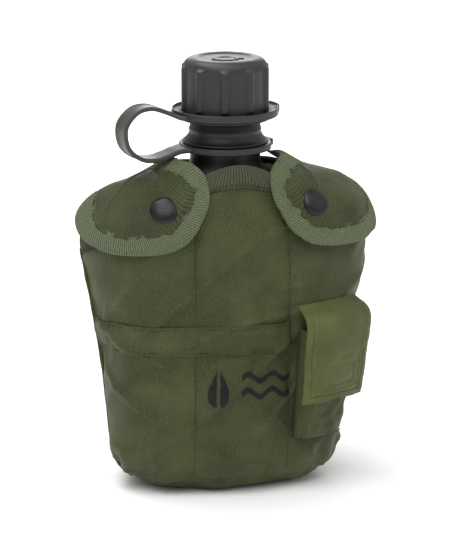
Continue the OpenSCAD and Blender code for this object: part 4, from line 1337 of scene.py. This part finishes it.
def make_mark():
    """A generic stencilled water drop and two ripples, low on the front."""
    low_z, x_mid, scale = 51.0, -1.0, 1.25
    slit = 0.7
    parts = []

    def on_panel(x, z, off=0.16):
        rise = z - BASE_Z
        turn = np.empty(x.shape)
        for k in range(x.shape[1]):
            turn[:, k] = front.turn_at_x(x[:, k], rise[:, k])
        return front.at(turn, rise, off)[0]

    a = np.radians(np.linspace(0, 360, 49))
    drop = np.stack([6.2 * np.sin(a) * np.sin(a / 2)**1.6, 8.6 * np.cos(a)], -1)
    for side in (-1, 1):
        keep = drop[:25] if side > 0 else drop[24:]
        keep = even(keep, 26)
        t = np.linspace(0, 1, 8)
        x = mixed(side * slit, side * np.maximum(side * keep[:, :1], slit), t[None, :])
        z = np.repeat(keep[:, 1:], 8, 1)
        parts.append(on_panel(x_mid - 12 + scale * x, low_z + 8 + scale * z))
    for row in (-3.6, 3.0):
        s = np.linspace(0, 1, 50)
        x = mixed(0, 20, s)
        z = row + 1.5 * np.sin(s * 4 * np.pi)
        t = np.linspace(-1.2, 1.2, 4)
        wide = (x_mid + scale * x)[:, None] + 0 * t[None, :]
        parts.append(on_panel(wide, low_z + 8 + scale * (z[:, None] + t[None, :])))
    points, faces, uv = [], [], []
    for grid in parts:
        first = sum(len(p) for p in points)
        points.append(grid.reshape(-1, 3))
        uv.append(grid.reshape(-1, 3)[:, [0, 2]])
        faces += [[first + k for k in f] for f in grid_faces(*grid.shape[:2])]
    mesh_piece("stencil_mark", np.concatenate(points), faces, "stencil", "root",
               np.concatenate(uv))


make_panels()
make_liners()
make_collar()
make_side_seams()
make_band()
make_front_seams()
for flap in (Flap("left", -1, 101), Flap("right", 1, 202)):
    flap.make()
make_pocket()
make_pocket_flap()
make_pocket_tapes()
make_bottle()
make_cap()
make_tether()
make_keeper()
make_base()
dress_nodes()
make_mark()


def declare_cloth():
    """The size each cloth piece was cut to, how it is held, what it lies on and what is sewn to it."""
    cut = [
        ("cover_front", (0.188, 0.168), 0.0276, "stretched", ["bottle_shell"],
         ["side_seam_tape_left", "side_seam_tape_right", "stencil_mark"]),
        ("cover_back", (0.186, 0.164), 0.0284, "stretched", ["bottle_shell"], []),
        ("pile_front", (0.178, 0.158), 0.0243, "stretched", ["cover_front"], []),
        ("pile_back", (0.178, 0.157), 0.0256, "stretched", ["cover_back"], []),
        ("base_cloth", (0.07, 0.03), 0.0018, "stretched", ["base_pile"], []),
        ("base_pile", (0.07, 0.03), 0.0018, "stretched", ["base_cloth"], []),
        ("front_band_cloth", (0.126, 0.0145), None, "stretched", ["cover_front"], ["band_stitches"]),
        ("collar_tape", (0.19, 0.02), None, "folded", ["cover_front"], []),
        ("pocket_pouch", (0.055, 0.058), None, "stretched", ["cover_front"], ["pocket_stitches"]),
        ("pocket_flap_cloth", (0.041, 0.06), None, "folded", ["pocket_pouch"], ["pocket_flap_stitches"]),
        ("pocket_loop", (0.024, 0.016), None, "stretched", ["pocket_pouch"], []),
        ("pocket_hook", (0.024, 0.016), None, "stretched", ["pocket_flap_cloth"], []),
        ("keeper_webbing", (0.102, 0.038), None, "stretched", ["cover_back"], ["keeper_stitches"]),
    ]
    for side in ("left", "right"):
        cut += [
            (f"flap_cloth_{side}", (0.056, 0.085), 0.004, "folded", ["cover_front"],
             [f"flap_stitches_{side}"]),
            (f"flap_pile_{side}", (0.042, 0.048), 0.0016, "stretched", [f"flap_cloth_{side}"], []),
            (f"flap_tape_{side}", (0.17, 0.019), None, "folded", [f"flap_cloth_{side}"], []),
        ]


declare_cloth()
